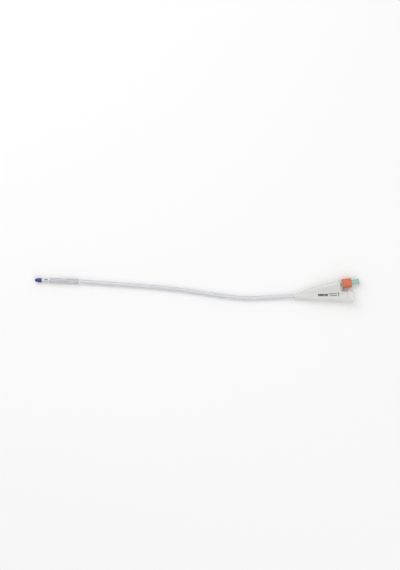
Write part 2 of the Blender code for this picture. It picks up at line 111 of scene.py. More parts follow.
class EyeSide(Enum):
    """The two drainage eyes, by their turn round the shaft from the arm's side."""

    UPPER = math.radians(62)
    LOWER = UPPER + math.pi


class Centreline:
    """A route read by its length, which runs straight on past both ends."""

    def __init__(self, points: Iterable[Sequence[float]]) -> None:
        """Keep the route's points, close enough together to count as a curve."""
        self.points = np.array([tuple(point) for point in points], float)
        steps = np.linalg.norm(np.diff(self.points, axis=0), axis=1)
        self.marks = np.concatenate([[0.0], np.cumsum(steps)])
        self.length = float(self.marks[-1])

    def at(self, along: float) -> Vector:
        """Find a point on the route.

        Args:
            along: Length from the route's start, in metres.

        Returns:
            The point there.
        """
        inside = min(max(along, 0.0), self.length)
        point = Vector([np.interp(inside, self.marks, axis) for axis in self.points.T])
        ends = self.points[:2] if along < 0 else self.points[-2:]
        return point + Vector(ends[1] - ends[0]).normalized() * (along - inside)

    def place(self, along: float, span: float = 1.0 * MM) -> Matrix:
        """Find the frame at a point: X along the route, Y level to its left, Z up.

        Args:
            along: Length from the route's start.
            span: Length over which the direction is taken.

        Returns:
            The frame, with the point as its origin.
        """
        forward = (self.at(along + span / 2) - self.at(along - span / 2)).normalized()
        left = Vector((0, 0, 1)).cross(forward).normalized()
        frame = Matrix((forward, left, forward.cross(left))).transposed().to_4x4()
        frame.translation = self.at(along)
        return frame

    def measure(self, places: Rows) -> Rows:
        """Read points against the route.

        Args:
            places: Points, one row each.

        Returns:
            Length along, distance to the left and distance up, one row each.
        """
        starts = self.points[:-1]
        runs = self.points[1:] - starts
        sizes = np.maximum((runs * runs).sum(1), TINY * TINY)
        found = np.empty((len(places), 3))
        for first in range(0, len(places), BLOCK):
            gaps = places[first : first + BLOCK, None, :] - starts[None, :, :]
            shares = (gaps * runs[None]).sum(2) / sizes
            inner = np.clip(shares, 0, 1)
            inner[:, 0] = np.minimum(shares[:, 0], 1)
            inner[:, -1] = np.where(shares[:, -1] > 1, shares[:, -1], inner[:, -1])
            off = gaps - inner[:, :, None] * runs[None]
            best = (off * off).sum(2).argmin(1)
            rows = np.arange(len(gaps))
            share, away = inner[rows, best], off[rows, best]
            forward = runs[best] / np.sqrt(sizes[best])[:, None]
            left = np.stack([-forward[:, 1], forward[:, 0], np.zeros(len(gaps))], 1)
            left /= np.linalg.norm(left, axis=1)[:, None]
            up = np.cross(forward, left)
            along = self.marks[best] + share * np.sqrt(sizes[best])
            columns = [along, (away * left).sum(1), (away * up).sum(1)]
            found[first : first + BLOCK] = np.stack(columns, 1)
        return found


def smoothstep(value: Rows | float) -> Rows | float:
    """Blend evenly from 0 at 0 to 1 at 1, level at both ends."""
    share = np.clip(value, 0.0, 1.0)
    return share * share * (3 - 2 * share)


def arc(first: Vector, corner: Vector, last: Vector, steps: int) -> list[Vector]:
    """Bend a corner into a smooth run of points.

    Args:
        first: Where the bend starts.
        corner: The corner that it rounds.
        last: Where it ends.
        steps: Its number of segments.

    Returns:
        The points, with both ends.
    """
    shares = [step / steps for step in range(steps + 1)]
    return [first * (1 - t) ** 2 + corner * (2 * t * (1 - t)) + last * t * t for t in shares]


def quarter(steps: int) -> list[tuple[float, float]]:
    """Step round a quarter circle: how far it has come in, and how far out."""
    turns = [math.pi / 2 * step / steps for step in range(1, steps + 1)]
    return [(1 - math.cos(turn), math.sin(turn)) for turn in turns]


@dataclass
class Layout:
    """Where the catheter's centrelines run, in the frame's own metres.

    The shaft's course is the list of points that its solid follows: a share of the
    reach from nose to neck, and a distance aside in millimetres.
    """

    reach: float = 320.0 * MM
    course: tuple[tuple[float, float], ...] = (
        (0.000, 20.3), (0.097, 19.5), (0.172, 18.5), (0.288, 15.8), (0.441, 12.1),
        (0.594, 6.7), (0.750, -0.5), (0.795, -1.8), (0.875, -1.6), (1.000, 0.0),
    )
    shaft_radius: float = 2.665 * MM
    balloon_end: float = 54.0 * MM
    balloon_radius: float = 3.35 * MM
    balloon_run_down: float = 26.0 * MM
    socket_depth: float = 18.0 * MM
    funnel_length: float = 70.8 * MM
    neck_crest: float = 2.0 * MM
    crest_radius: float = 3.95 * MM
    rim_radius: float = 8.0 * MM
    rim_length: float = 6.2 * MM
    leave_angle: float = math.radians(19.8)
    valve_angle: float = math.radians(8.6)
    valve_along: float = 67.6 * MM
    valve_aside: float = 17.2 * MM
    valve_height: float = 5.8 * MM
    arm_root_along: float = 1.0 * MM
    arm_bend: float = 18.0 * MM
    step: float = 1.0 * MM
    origin: Vector = field(init=False)
    shaft: Centreline = field(init=False)
    funnel: Centreline = field(init=False)
    arm: Centreline = field(init=False)
    valve: Centreline = field(init=False)
    neck_along: float = field(init=False)

    def __post_init__(self) -> None:
        """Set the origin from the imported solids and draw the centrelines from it."""
        self.origin = Vector((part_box("tip")[0].x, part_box("funnel")[0].y + self.rim_radius, 0))
        rim_start = self.funnel_length - self.rim_length
        rise = self.rim_radius - self.crest_radius
        self.tilt = math.atan(rise / (rim_start - self.neck_crest))
        crest = self.crest_radius * math.cos(self.tilt)
        self.neck_height = crest - self.neck_crest * math.sin(self.tilt)
        heading = Vector((math.cos(self.tilt), 0, math.sin(self.tilt)))
        start = self.origin + Vector((self.reach, 0, self.neck_height))
        self.funnel = Centreline([start, start + heading * self.funnel_length])
        self.shaft = self._shaft_line()
        self.arm = self._arm_line()
        end = self.arm.place(self.arm.length)
        self.valve = Centreline([end.translation, end @ Vector((1, 0, 0))])

    def _aside(self, x: float) -> float:
        """Read the shaft's distance aside from a cubic spline through its course.

        Args:
            x: Distance from the nose.

        Returns:
            The distance aside.
        """
        xs = np.array([share * self.reach for share, _ in self.course])
        ys = np.array([aside * MM for _, aside in self.course])
        count, steps = len(xs), np.diff(xs)
        rises = np.diff(ys) / steps
        rows, right = np.zeros((count, count)), np.zeros(count)
        rows[0, :2], right[0] = (2, 1), 3 * rises[0]
        for i in range(1, count - 1):
            rows[i, i - 1 : i + 2] = steps[i], 2 * (steps[i - 1] + steps[i]), steps[i - 1]
            right[i] = 3 * (steps[i] * rises[i - 1] + steps[i - 1] * rises[i])
        rows[-1, -1] = 1
        slopes = np.linalg.solve(rows, right)
        i = min(max(int(np.searchsorted(xs, x)) - 1, 0), count - 2)
        t = (x - xs[i]) / steps[i]
        start = ys[i] * (1 + 2 * t) * (1 - t) ** 2 + slopes[i] * steps[i] * t * (1 - t) ** 2
        end = ys[i + 1] * t * t * (3 - 2 * t) + slopes[i + 1] * steps[i] * t * t * (t - 1)
        return float(start + end)

    def _height(self, x: float) -> float:
        """Read the shaft's axis height: up on the balloon, down, and up to the neck.

        Args:
            x: Distance from the nose.

        Returns:
            The height.
        """
        on_balloon = 1 - smoothstep((x - self.balloon_end) / self.balloon_run_down)
        climb = self.neck_height - self.shaft_radius
        share = max(0.0, 1 - (self.reach - x) / (2 * climb / math.tan(self.tilt)))
        lift = (self.balloon_radius - self.shaft_radius) * on_balloon
        return float(self.shaft_radius + lift + climb * share**2)

    def _shaft_line(self) -> Centreline:
        """Draw the shaft's route from the nose into the funnel's socket."""
        xs = np.linspace(0, self.reach, round(self.reach / self.step) + 1)
        points = [self.origin + Vector((x, self._aside(x), self._height(x))) for x in xs]
        self.neck_along = Centreline(points).length
        return Centreline([*points, self.funnel.at(self.socket_depth)])

    def _arm_line(self) -> Centreline:
        """Draw the inflation arm's route from the funnel's axis to the valve's face."""
        aside = Vector((self.reach + self.valve_along, self.valve_aside, self.valve_height))
        end = self.origin + aside
        out = Vector((math.cos(self.valve_angle), math.sin(self.valve_angle), 0))
        root = self.funnel.at(self.arm_root_along)
        leave, level = math.tan(self.leave_angle), math.tan(self.valve_angle)
        line_aside = end.y - root.y - level * (end.x - root.x)
        corner_x = root.x + line_aside / (leave - level)
        corner = end - out * ((end.x - corner_x) / out.x)
        first = corner - (corner - root).normalized() * self.arm_bend
        steps = round(2 * self.arm_bend / self.step)
        return Centreline([root, *arc(first, corner, corner + out * self.arm_bend, steps), end])


def link(name: str, data: bpy.types.ID) -> Thing:
    """Put a new object that holds some data into the scene, and return it."""
    thing = bpy.data.objects.new(name, data)
    bpy.context.scene.collection.objects.link(thing)
    return thing


def baked(thing: Thing, name: str | None = None) -> Thing:
    """Turn an object with modifiers into a plain mesh object.

    Args:
        thing: The object, which is removed.
        name: The new object's name, or None to keep the old one.

    Returns:
        The plain object.
    """
    graph = bpy.context.evaluated_depsgraph_get()
    mesh = bpy.data.meshes.new_from_object(thing.evaluated_get(graph))
    mesh.name = kept = name or thing.name
    bpy.data.objects.remove(thing)
    return link(kept, mesh)


def shade(thing: Thing, degrees: float = 40) -> Thing:
    """Shade a mesh smooth up to its sharp edges, and return its object."""
    thing.data.shade_smooth()
    thing.data.set_sharp_from_angle(angle=math.radians(degrees))
    return thing


def dressed(thing: Thing, *materials: bpy.types.Material) -> Thing:
    """Give a mesh these materials and no others, and return its object."""
    thing.data.materials.clear()
    for material in materials:
        thing.data.materials.append(material)
    return thing


def combine(target: Thing, tools: Sequence[Thing], cut: Cut) -> Thing:
    """Run Booleans on a target, one tool after another.

    Args:
        target: The solid to change, which is replaced.
        tools: The solids to use, which are removed.
        cut: What to do with them.

    Returns:
        The new target, as a plain mesh.
    """
    for tool in tools:
        step = target.modifiers.new(tool.name, "BOOLEAN")
        step.operation, step.object = cut.value, tool
    made = baked(target)
    for tool in tools:
        bpy.data.objects.remove(tool)
    return made


def vertices_of(mesh: bpy.types.Mesh) -> Rows:
    """Read a mesh's vertices as rows of three numbers."""
    places = np.empty(len(mesh.vertices) * 3)
    mesh.vertices.foreach_get("co", places)
    return places.reshape(-1, 3)


def store_vectors(mesh: bpy.types.Mesh, name: str, rows: Rows) -> None:
    """Store one vector for each vertex under an attribute's name."""
    layer = mesh.attributes.new(name, "FLOAT_VECTOR", "POINT")
    layer.data.foreach_set("vector", rows.astype(np.float32).ravel())


def store_section(thing: Thing, line: Centreline, radius: float) -> None:
    """Store where each vertex is: length along the line, and shares of a radius."""
    read = line.measure(vertices_of(thing.data))
    read[:, 1:] /= radius
    store_vectors(thing.data, SECTION_ATTRIBUTE, read)


@dataclass(frozen=True)
class Corner:
    """A corner of a turned outline: length along, radius, and the fillet's setback."""

    along: float
    radius: float
    fillet: float = 0.0


def rounded(corners: Sequence[Corner], closed: bool = False, steps: int = 5) -> Outline:
    """Round the corners of a turned outline.

    Args:
        corners: The outline's corners in order.
        closed: Whether the last corner joins the first.
        steps: Segments in each rounded corner.

    Returns:
        Pairs of length along and radius.
    """
    outline: Outline = []
    places = [Vector((corner.along, corner.radius)) for corner in corners]
    for i, (corner, here) in enumerate(zip(corners, places)):
        if corner.fillet == 0 or (not closed and i in (0, len(corners) - 1)):
            outline.append((here.x, here.y))
            continue
        back, ahead = places[i - 1] - here, places[(i + 1) % len(places)] - here
        room = (FILLET_SHARE * back.length, FILLET_SHARE * ahead.length)
        reach = min(corner.fillet, *room)
        first, last = here + back.normalized() * reach, here + ahead.normalized() * reach
        outline += [(point.x, point.y) for point in arc(first, here, last, steps)]
    return outline


def refined(outline: Outline, longest: float) -> Outline:
    """Add points to an outline so that no run is longer than a given length."""
    fine: Outline = []
    for (x0, r0), (x1, r1) in zip(outline, outline[1:]):
        count = max(1, math.ceil(math.hypot(x1 - x0, r1 - r0) / longest))
        fine += [(x0 + (x1 - x0) * i / count, r0 + (r1 - r0) * i / count) for i in range(count)]
    return [*fine, outline[-1]]


def bridge(bm: bmesh.types.BMesh, first: list, second: list) -> None:
    """Make the faces between two rings, either of which may be a pole.

    Args:
        bm: The mesh under construction.
        first: One ring's vertices.
        second: The next ring's vertices.
    """
    count = max(len(first), len(second))
    for step in range(count):
        turn = (step + 1) % count
        if len(first) == 1:
            bm.faces.new((first[0], second[step], second[turn]))
        elif len(second) == 1:
            bm.faces.new((first[step], second[0], first[turn]))
        else:
            bm.faces.new((first[step], second[step], second[turn], first[turn]))


def stack(bm: bmesh.types.BMesh, rings: Sequence[list]) -> None:
    """Make the faces along a stack of rings and close both its ends."""
    for first, second in zip(rings, rings[1:]):
        bridge(bm, first, second)
    for ring in (rings[0], rings[-1]):
        if len(ring) > 1:
            bm.faces.new(ring)


def mesh_object(name: str, bm: bmesh.types.BMesh) -> Thing:
    """Turn a finished bmesh into an object whose faces point out."""
    bmesh.ops.recalc_face_normals(bm, faces=bm.faces)
    mesh = bpy.data.meshes.new(name)
    bm.to_mesh(mesh)
    bm.free()
    return link(name, mesh)


def welded(thing: Thing) -> Thing:
    """Merge a swept mesh's doubles, turn its faces out, and return its object."""
    bm = bmesh.new()
    bm.from_mesh(thing.data)
    bmesh.ops.remove_doubles(bm, verts=bm.verts, dist=WELD)
    bmesh.ops.recalc_face_normals(bm, faces=bm.faces)
    bm.to_mesh(thing.data)
    bm.free()
    return thing


def block(size: Sequence[float], middle: Sequence[float]) -> bmesh.types.BMesh:
    """Make a plain block of a given size round a given middle."""
    bm = bmesh.new()
    bmesh.ops.create_cube(bm, size=1)
    bmesh.ops.scale(bm, vec=size, verts=bm.verts)
    bmesh.ops.translate(bm, vec=middle, verts=bm.verts)
    return bm


def turned(
    name: str, line: Centreline, outline: Outline, sides: int = 72, closed: bool = False,
    aside: float = 0.0,
) -> Thing:
    """Turn an outline round a centreline.

    Args:
        name: The object's name.
        line: The centreline, which may be curved.
        outline: Pairs of length along and radius. Radius 0 makes a pole.
        sides: Facets round the line.
        closed: Whether the outline is a loop, as a ring's section is.
        aside: Distance of the solid's middle to the line's left.

    Returns:
        The closed solid.
    """
    bm = bmesh.new()
    turns = [2 * math.pi * step / sides for step in range(sides)]
    rings = []
    for along, radius in outline:
        frame = line.place(along)
        around = [(aside + radius * math.cos(a), radius * math.sin(a)) for a in turns]
        around = [(aside, 0)] if radius < TINY else around
        rings.append([bm.verts.new(frame @ Vector((0, y, z))) for y, z in around])
    if closed:
        for first, second in zip(rings, [*rings[1:], rings[0]]):
            bridge(bm, first, second)
    else:
        stack(bm, rings)
    return mesh_object(name, bm)


class Tree:
    """A node tree with short calls to add, fill and link its nodes."""

    KINDS = {"VALUE": "Float", "RGBA": "Color", "VECTOR": "Vector", "GEOMETRY": "Geometry"}

    def __init__(self, tree: Group) -> None:
        """Work on a tree that exists."""
        self.tree = tree

    @classmethod
    def start(cls, name: str, kind: str) -> Tree:
        """Start an empty node group of one of Blender's tree types."""
        made = cls(bpy.data.node_groups.new(name, kind))
        made.inputs, made.outputs = made.add("NodeGroupInput"), made.add("NodeGroupOutput")
        return made

    def takes(self, items: dict[str, object]) -> list[Socket]:
        """Add named inputs.

        Args:
            items: Starting values by name. A text is a kind with no starting value.

        Returns:
            The sockets that the tree's nodes link to, in order.
        """
        for name, value in items.items():
            plain = isinstance(value, str)
            kind = "NodeSocket" + (value if plain else type(value).__name__.title())
            item = self.tree.interface.new_socket(name=name, in_out="INPUT", socket_type=kind)
            if not plain:
                item.default_value = value
        return [self.inputs.outputs[name] for name in items]

    def gives(self, **sources: Socket) -> Group:
        """Add named outputs, link a socket to each, and return the finished tree."""
        for name, source in sources.items():
            kind = "NodeSocket" + self.KINDS[source.type]
            self.tree.interface.new_socket(name=name, in_out="OUTPUT", socket_type=kind)
            self.tree.links.new(source, self.outputs.inputs[name])
        return self.tree

    def fill(self, node: Node, values: dict) -> None:
        """Fill a node's inputs, by name or number, with sockets or plain values."""
        for key, value in values.items():
            if isinstance(value, Socket):
                self.tree.links.new(value, node.inputs[key])
            else:
                node.inputs[key].default_value = value

    def add(self, kind: str, values: dict | None = None, **settings: object) -> Node:
        """Add a node.

        Args:
            kind: The node's type.
            values: Sockets to link or plain values to set, by input name or number.
            settings: The node's own properties.

        Returns:
            The node.
        """
        node = self.tree.nodes.new(kind)
        for key, value in settings.items():
            setattr(node, key, value)
        self.fill(node, values or {})
        return node

    def out(self, kind: str, values: dict | None = None, **settings: object) -> Socket:
        """Add a node as add() does, and return its first output."""
        return self.add(kind, values, **settings).outputs[0]

    def math(self, operation: str, *values: object) -> Socket:
        """Add a Math node on sockets or numbers, and return its result."""
        return self.out("ShaderNodeMath", dict(enumerate(values)), operation=operation)


def run_tree(host: Thing, tree: Group, name: str, values: dict[str, object]) -> Thing:
    """Run a Geometry Nodes tree on an object and keep the result as a plain mesh.

    Args:
        host: The object that carries the tree, which is removed.
        tree: The tree.
        name: The new object's name.
        values: The tree's inputs, by name.

    Returns:
        The plain mesh object.
    """
    step = host.modifiers.new(tree.name, "NODES")
    step.node_group = tree
    for item in tree.interface.items_tree:
        if item.item_type == "SOCKET" and item.in_out == "INPUT" and item.name in values:
            step[item.identifier] = values[item.name]
    return baked(host, name)


def empty_host() -> Thing:
    """Make an empty mesh object to run a tree on that makes all its own geometry."""
    return link("host", bpy.data.meshes.new("host"))


class GeometryTrees:
    """The Geometry Nodes trees for what follows a route or repeats."""

    SWAY_RATE, SWAY = 170.0, 0.9
    ODD_PLEATS, ODD_RATE, ODD_SHARE = 5.0, 95.0, 0.6
    WIDEST_MARK, MARK_POINTS = 0.86, 6
    COIL_STEPS, WIRE_SIDES = 32, 12

    def __init__(self) -> None:
        """Build each tree once."""
        self.tube, self.coil, self.ribs = self._tube(), self._coil(), self._ribs()
        self.pleats, self.bars = self._pleats(), self._bars()

    @staticmethod
    def _close(tree: Tree, mesh: Socket, material: Socket) -> Group:
        """End a tree with real geometry that has a material, and return it."""
        real = tree.out("GeometryNodeRealizeInstances", {0: mesh})
        made = tree.out("GeometryNodeSetMaterial", {0: real, "Material": material})
        return tree.gives(Geometry=made)

    def _sweep(
        self, tree: Tree, path: Socket, radius: Socket, sides: Socket | int, material: Socket
    ) -> Group:
        """End a tree with a round solid swept along a path.

        Args:
            tree: The tree under construction.
            path: The curve to follow.
            radius: The solid's radius.
            sides: Facets round it.
            material: The material input.

        Returns:
            The finished tree.
        """
        values = {"Resolution": sides, "Radius": radius}
        ring = tree.out("GeometryNodeCurvePrimitiveCircle", values)
        values = {"Curve": path, "Profile Curve": ring, "Fill Caps": True}
        return self._close(tree, tree.out("GeometryNodeCurveToMesh", values), material)

    def _tube(self) -> Group:
        """A round solid tube on a curve, with closed ends."""
        tree = Tree.start("tube_on_route", "GeometryNodeTree")
        route, radius, sides, material = tree.takes(
            {"Route": "Geometry", "Radius": 1.0 * MM, "Sides": 32, "Material": "Material"}
        )
        upright = tree.out("GeometryNodeSetCurveNormal", {0: route}, mode="Z_UP")
        return self._sweep(tree, upright, radius, sides, material)

    def _coil(self) -> Group:
        """A coil spring of round wire that stands on Z."""
        tree = Tree.start("coil_spring", "GeometryNodeTree")
        _, turns, radius, height, wire, material = tree.takes({
            "Geometry": "Geometry", "Turns": 7.0, "Coil Radius": 1.0 * MM, "Height": 5.0 * MM,
            "Wire Radius": 0.2 * MM, "Material": "Material",
        })
        path = tree.out("GeometryNodeCurveSpiral", {
            "Resolution": self.COIL_STEPS, "Rotations": turns, "Start Radius": radius,
            "End Radius": radius, "Height": height,
        })
        return self._sweep(tree, path, wire, self.WIRE_SIDES, material)

    def _ribs(self) -> Group:
        """Straight ribs of a given mesh, set evenly round the X axis."""
        tree = Tree.start("ribs_round_axis", "GeometryNodeTree")
        rib, count, radius, material = tree.takes(
            {"Rib": "Geometry", "Count": 6, "Radius": 3.0 * MM, "Material": "Material"}
        )
        values = {"Resolution": count, "Radius": radius}
        ring = tree.out("GeometryNodeCurvePrimitiveCircle", values)
        upright = tree.out("GeometryNodeTransform", {0: ring, "Rotation": (0, math.pi / 2, 0)})
        points = tree.out("GeometryNodeCurveToPoints", {"Curve": upright, "Count": count})
        index = tree.out("GeometryNodeInputIndex")
        turn = tree.math("DIVIDE", tree.math("MULTIPLY", index, 2 * math.pi), count)
        spin = tree.out("ShaderNodeCombineXYZ", {"X": turn})
        values = {"Points": points, "Instance": rib, "Rotation": spin}
        return self._close(tree, tree.out("GeometryNodeInstanceOnPoints", values), material)

    def _pleats(self) -> Group:
        """Fine lengthwise pleats on a sleeve, by its section attribute."""
        tree = Tree.start("sleeve_pleats", "GeometryNodeTree")
        sleeve, start, end, fade, inner, count, depth, material = tree.takes({
            "Sleeve": "Geometry", "Start": 0.0, "End": 0.03, "Fade": 3.0 * MM,
            "Inner Share": 0.9, "Pleats": 11.0, "Depth": 0.08 * MM, "Material": "Material",
        })
        values = {"Name": SECTION_ATTRIBUTE}
        named = tree.out("GeometryNodeInputNamedAttribute", values, data_type="FLOAT_VECTOR")
        along, left, up = tree.add("ShaderNodeSeparateXYZ", {0: named}).outputs
        do = tree.math
        angle = do("ARCTAN2", up, left)
        slow = do("MULTIPLY", do("SINE", do("MULTIPLY", along, self.SWAY_RATE)), self.SWAY)
        main = do("SINE", do("ADD", do("MULTIPLY", angle, count), slow))
        odd = do("MULTIPLY", along, self.ODD_RATE)
        odd = do("SINE", do("ADD", do("MULTIPLY", angle, self.ODD_PLEATS), odd))
        wave = do("MULTIPLY", do("ADD", main, do("MULTIPLY", odd, self.ODD_SHARE)), depth)
        rising = do("DIVIDE", do("SUBTRACT", along, start), fade)
        falling = do("DIVIDE", do("SUBTRACT", end, along), fade)
        band = tree.out("ShaderNodeClamp", {"Value": do("MINIMUM", rising, falling)})
        size = do("SQRT", do("ADD", do("POWER", left, 2.0), do("POWER", up, 2.0)))
        amount = do("MULTIPLY", do("MULTIPLY", wave, band), do("GREATER_THAN", size, inner))
        values = {0: tree.out("GeometryNodeInputNormal"), "Scale": amount}
        push = tree.out("ShaderNodeVectorMath", values, operation="SCALE")
        moved = tree.out("GeometryNodeSetPosition", {0: sleeve, "Offset": push})
        return self._close(tree, moved, material)

    def _bars(self) -> Group:
        """A row of flat marks of uneven width along X, on a line of even points."""
        tree = Tree.start("row_of_marks", "GeometryNodeTree")
        _, count, pitch, height, narrow, seed, material = tree.takes({
            "Geometry": "Geometry", "Count": 5, "Pitch": 1.0 * MM, "Height": 1.0 * MM,
            "Narrowest": 0.6, "Seed": 1, "Material": "Material",
        })
        step = tree.out("ShaderNodeCombineXYZ", {"X": pitch})
        line = tree.out("GeometryNodeMeshLine", {"Count": count, "Offset": step})
        points = self.MARK_POINTS
        sizes = {"Size X": pitch, "Size Y": height, "Vertices X": points, "Vertices Y": points}
        mark = tree.out("GeometryNodeMeshGrid", sizes)
        width = {2: narrow, 3: self.WIDEST_MARK, "Seed": seed}
        width = tree.add("FunctionNodeRandomValue", width, data_type="FLOAT").outputs[1]
        scale = tree.out("ShaderNodeCombineXYZ", {"X": width, "Y": 1.0, "Z": 1.0})
        values = {"Points": line, "Instance": mark, "Scale": scale}
        return self._close(tree, tree.out("GeometryNodeInstanceOnPoints", values), material)

    def make_tube(self, name: str, line: Centreline, radius: float, sides: int) -> Thing:
        """Sweep a round solid tube along a route's own points.

        Args:
            name: The object's name.
            line: The route.
            radius: The tube's radius.
            sides: Facets round the tube.

        Returns:
            The plain mesh object.
        """
        curve = bpy.data.curves.new(name, "CURVE")
        curve.dimensions = "3D"
        spline = curve.splines.new("POLY")
        spline.points.add(len(line.points) - 1)
        rows = np.hstack([line.points, np.ones((len(line.points), 1))])
        spline.points.foreach_set("co", rows.ravel())
        values = {"Radius": radius, "Sides": sides}
        return welded(run_tree(link(name, curve), self.tube, name, values))


class ShaderGroups:
    """The shader node groups that more than one finish uses."""

    CLOUD_DETAIL, CLOUD_ROUGHNESS, FINE_DETAIL = 4.0, 0.6, 2.0
    CLOUD_LOW, CLOUD_HIGH, GRAIN_STRENGTH = 0.3, 0.7, 0.6
    RIDGE_HEIGHT, RIDGE_CORE, RIDGE_STRENGTH = 0.1 * MM, 0.4, 0.7

    def __init__(self) -> None:
        """Build each group once."""
        self.grain, self.stripe, self.seam = self._grain(), self._stripe(), self._seam()

    def _grain(self) -> Group:
        """Soft clouds in colour and gloss, with a fine relief."""
        tree = Tree.start("surface_grain", "ShaderNodeTree")
        place, light, dark, smooth, rough, clouds, fine, relief = tree.takes({
            "Place": "Vector", "Light": "Color", "Dark": "Color", "Smooth": 0.3, "Rough": 0.4,
            "Clouds": 200.0, "Fine": 3000.0, "Relief": 0.02 * MM,
        })
        values = {"Vector": place, "Scale": clouds, "Detail": self.CLOUD_DETAIL}
        values["Roughness"] = self.CLOUD_ROUGHNESS
        large = tree.out("ShaderNodeTexNoise", values)
        values = {"Vector": place, "Scale": fine, "Detail": self.FINE_DETAIL}
        small = tree.out("ShaderNodeTexNoise", values)
        values = {"Value": large, "From Min": self.CLOUD_LOW, "From Max": self.CLOUD_HIGH}
        spread = tree.out("ShaderNodeMapRange", values)
        mixed = tree.add("ShaderNodeMix", {0: spread, 6: light, 7: dark}, data_type="RGBA")
        gloss = tree.out("ShaderNodeMapRange", {"Value": small, "To Min": smooth, "To Max": rough})
        values = {"Height": small, "Distance": relief, "Strength": self.GRAIN_STRENGTH}
        bump = tree.out("ShaderNodeBump", values)
        return tree.gives(Color=mixed.outputs[2], Roughness=gloss, Normal=bump)

    def _stripe(self) -> Group:
        """A mask for one lengthwise stripe, by the section attribute."""
        tree = Tree.start("lengthwise_stripe", "ShaderNodeTree")
        section, left, up, edge, inner = tree.takes(
            {"Section": "Vector", "Left": 0.0, "Up": 1.0, "Edge": 0.97, "Inner": 0.985}
        )
        _, aside, above = tree.add("ShaderNodeSeparateXYZ", {0: section}).outputs
        sideways, upwards = tree.math("MULTIPLY", aside, left), tree.math("MULTIPLY", above, up)
        facing = tree.math("ADD", sideways, upwards)
        values = {"Value": facing, "From Min": edge, "From Max": inner}
        mask = tree.out("ShaderNodeMapRange", values, interpolation_type="SMOOTHSTEP")
        return tree.gives(Mask=mask)

    def _seam(self) -> Group:
        """The relief of a thin mould line where the rise attribute is zero."""
        tree = Tree.start("mould_line", "ShaderNodeTree")
        rise, width, normal = tree.takes({"Rise": "Float", "Width": 0.12 * MM, "Normal": "Vector"})
        share = tree.math("DIVIDE", tree.math("ABSOLUTE", rise), width)
        values = {"Value": share, "From Min": self.RIDGE_CORE, "From Max": 1.0}
        values |= {"To Min": 1.0, "To Max": 0.0}
        ridge = tree.out("ShaderNodeMapRange", values, interpolation_type="SMOOTHSTEP")
        values = {"Height": ridge, "Distance": self.RIDGE_HEIGHT, "Normal": normal}
        values["Strength"] = self.RIDGE_STRENGTH
        return tree.gives(Normal=tree.out("ShaderNodeBump", values))


def principled(name: str) -> tuple[bpy.types.Material, Tree, Node]:
    """Start a material, and return it with its tree and its Principled shader."""
    material = bpy.data.materials.new(name)
    material.use_nodes = True
    nodes = material.node_tree
    return material, Tree(nodes), nodes.nodes["Principled BSDF"]


@dataclass(frozen=True)
class Finish:
    """One finish: its two close colours, its gloss, its grain and how clear it is."""

    name: str
    light: Colour
    dark: Colour
    smooth: float = 0.3
    rough: float = 0.4
    clouds: float = 220.0
    fine: float = 3200.0
    relief: float = 0.015 * MM
    clear: float = 0.0
    bend: float = 1.41
    metal: float = 0.0
    glow: float = 0.0

    def dress(self, groups: ShaderGroups) -> bpy.types.Material:
        """Build the material.

        Args:
            groups: The shared shader groups.

        Returns:
            The material, with the grain group on its Principled shader.
        """
        material, tree, surface = principled(self.name)
        tree.fill(surface, {
            "Metallic": self.metal, "IOR": self.bend, "Transmission Weight": self.clear,
            "Subsurface Weight": self.glow, "Subsurface Radius": (1.0, 1.0, 1.0),
            "Subsurface Scale": 1.0 * MM,
        })
        place = tree.add("ShaderNodeTexCoord").outputs["Object"]
        grain = tree.add("ShaderNodeGroup", {
            "Place": place, "Light": (*self.light, 1.0), "Dark": (*self.dark, 1.0),
            "Smooth": self.smooth, "Rough": self.rough, "Clouds": self.clouds,
            "Fine": self.fine, "Relief": self.relief,
        }, node_tree=groups.grain)
        tree.fill(surface, self.sources(tree, grain, groups))
        return material

    def sources(self, tree: Tree, grain: Node, groups: ShaderGroups) -> dict[str, Socket]:
        """Name what feeds the shader.

        Args:
            tree: The material's tree.
            grain: The grain group's node.
            groups: The shared shader groups.

        Returns:
            Sockets by the shader's input.
        """
        return {
            "Base Color": grain.outputs["Color"],
            "Roughness": grain.outputs["Roughness"],
            "Normal": grain.outputs["Normal"],
        }


@dataclass(frozen=True)
class StripedFinish(Finish):
    """A tube's finish with one lengthwise stripe in its wall."""

    stripe: Colour = (0.4, 0.4, 0.6)
    turn: float = math.radians(115)
    half_width: float = math.radians(13)
    full_share: float = 0.6

    def sources(self, tree: Tree, grain: Node, groups: ShaderGroups) -> dict[str, Socket]:
        """Name what feeds the shader, with the stripe mixed into its colour.

        Args:
            tree: The material's tree.
            grain: The grain group's node.
            groups: The shared shader groups.

        Returns:
            Sockets by the shader's input.
        """
        found = super().sources(tree, grain, groups)
        section = tree.add("ShaderNodeAttribute", attribute_name=SECTION_ATTRIBUTE)
        mask = tree.out("ShaderNodeGroup", {
            "Section": section.outputs["Vector"], "Left": math.cos(self.turn),
            "Up": math.sin(self.turn), "Edge": math.cos(self.half_width),
            "Inner": math.cos(self.half_width * self.full_share),
        }, node_tree=groups.stripe)
        values = {0: mask, 6: found["Base Color"], 7: (*self.stripe, 1.0)}
        found["Base Color"] = tree.add("ShaderNodeMix", values, data_type="RGBA").outputs[2]
        return found


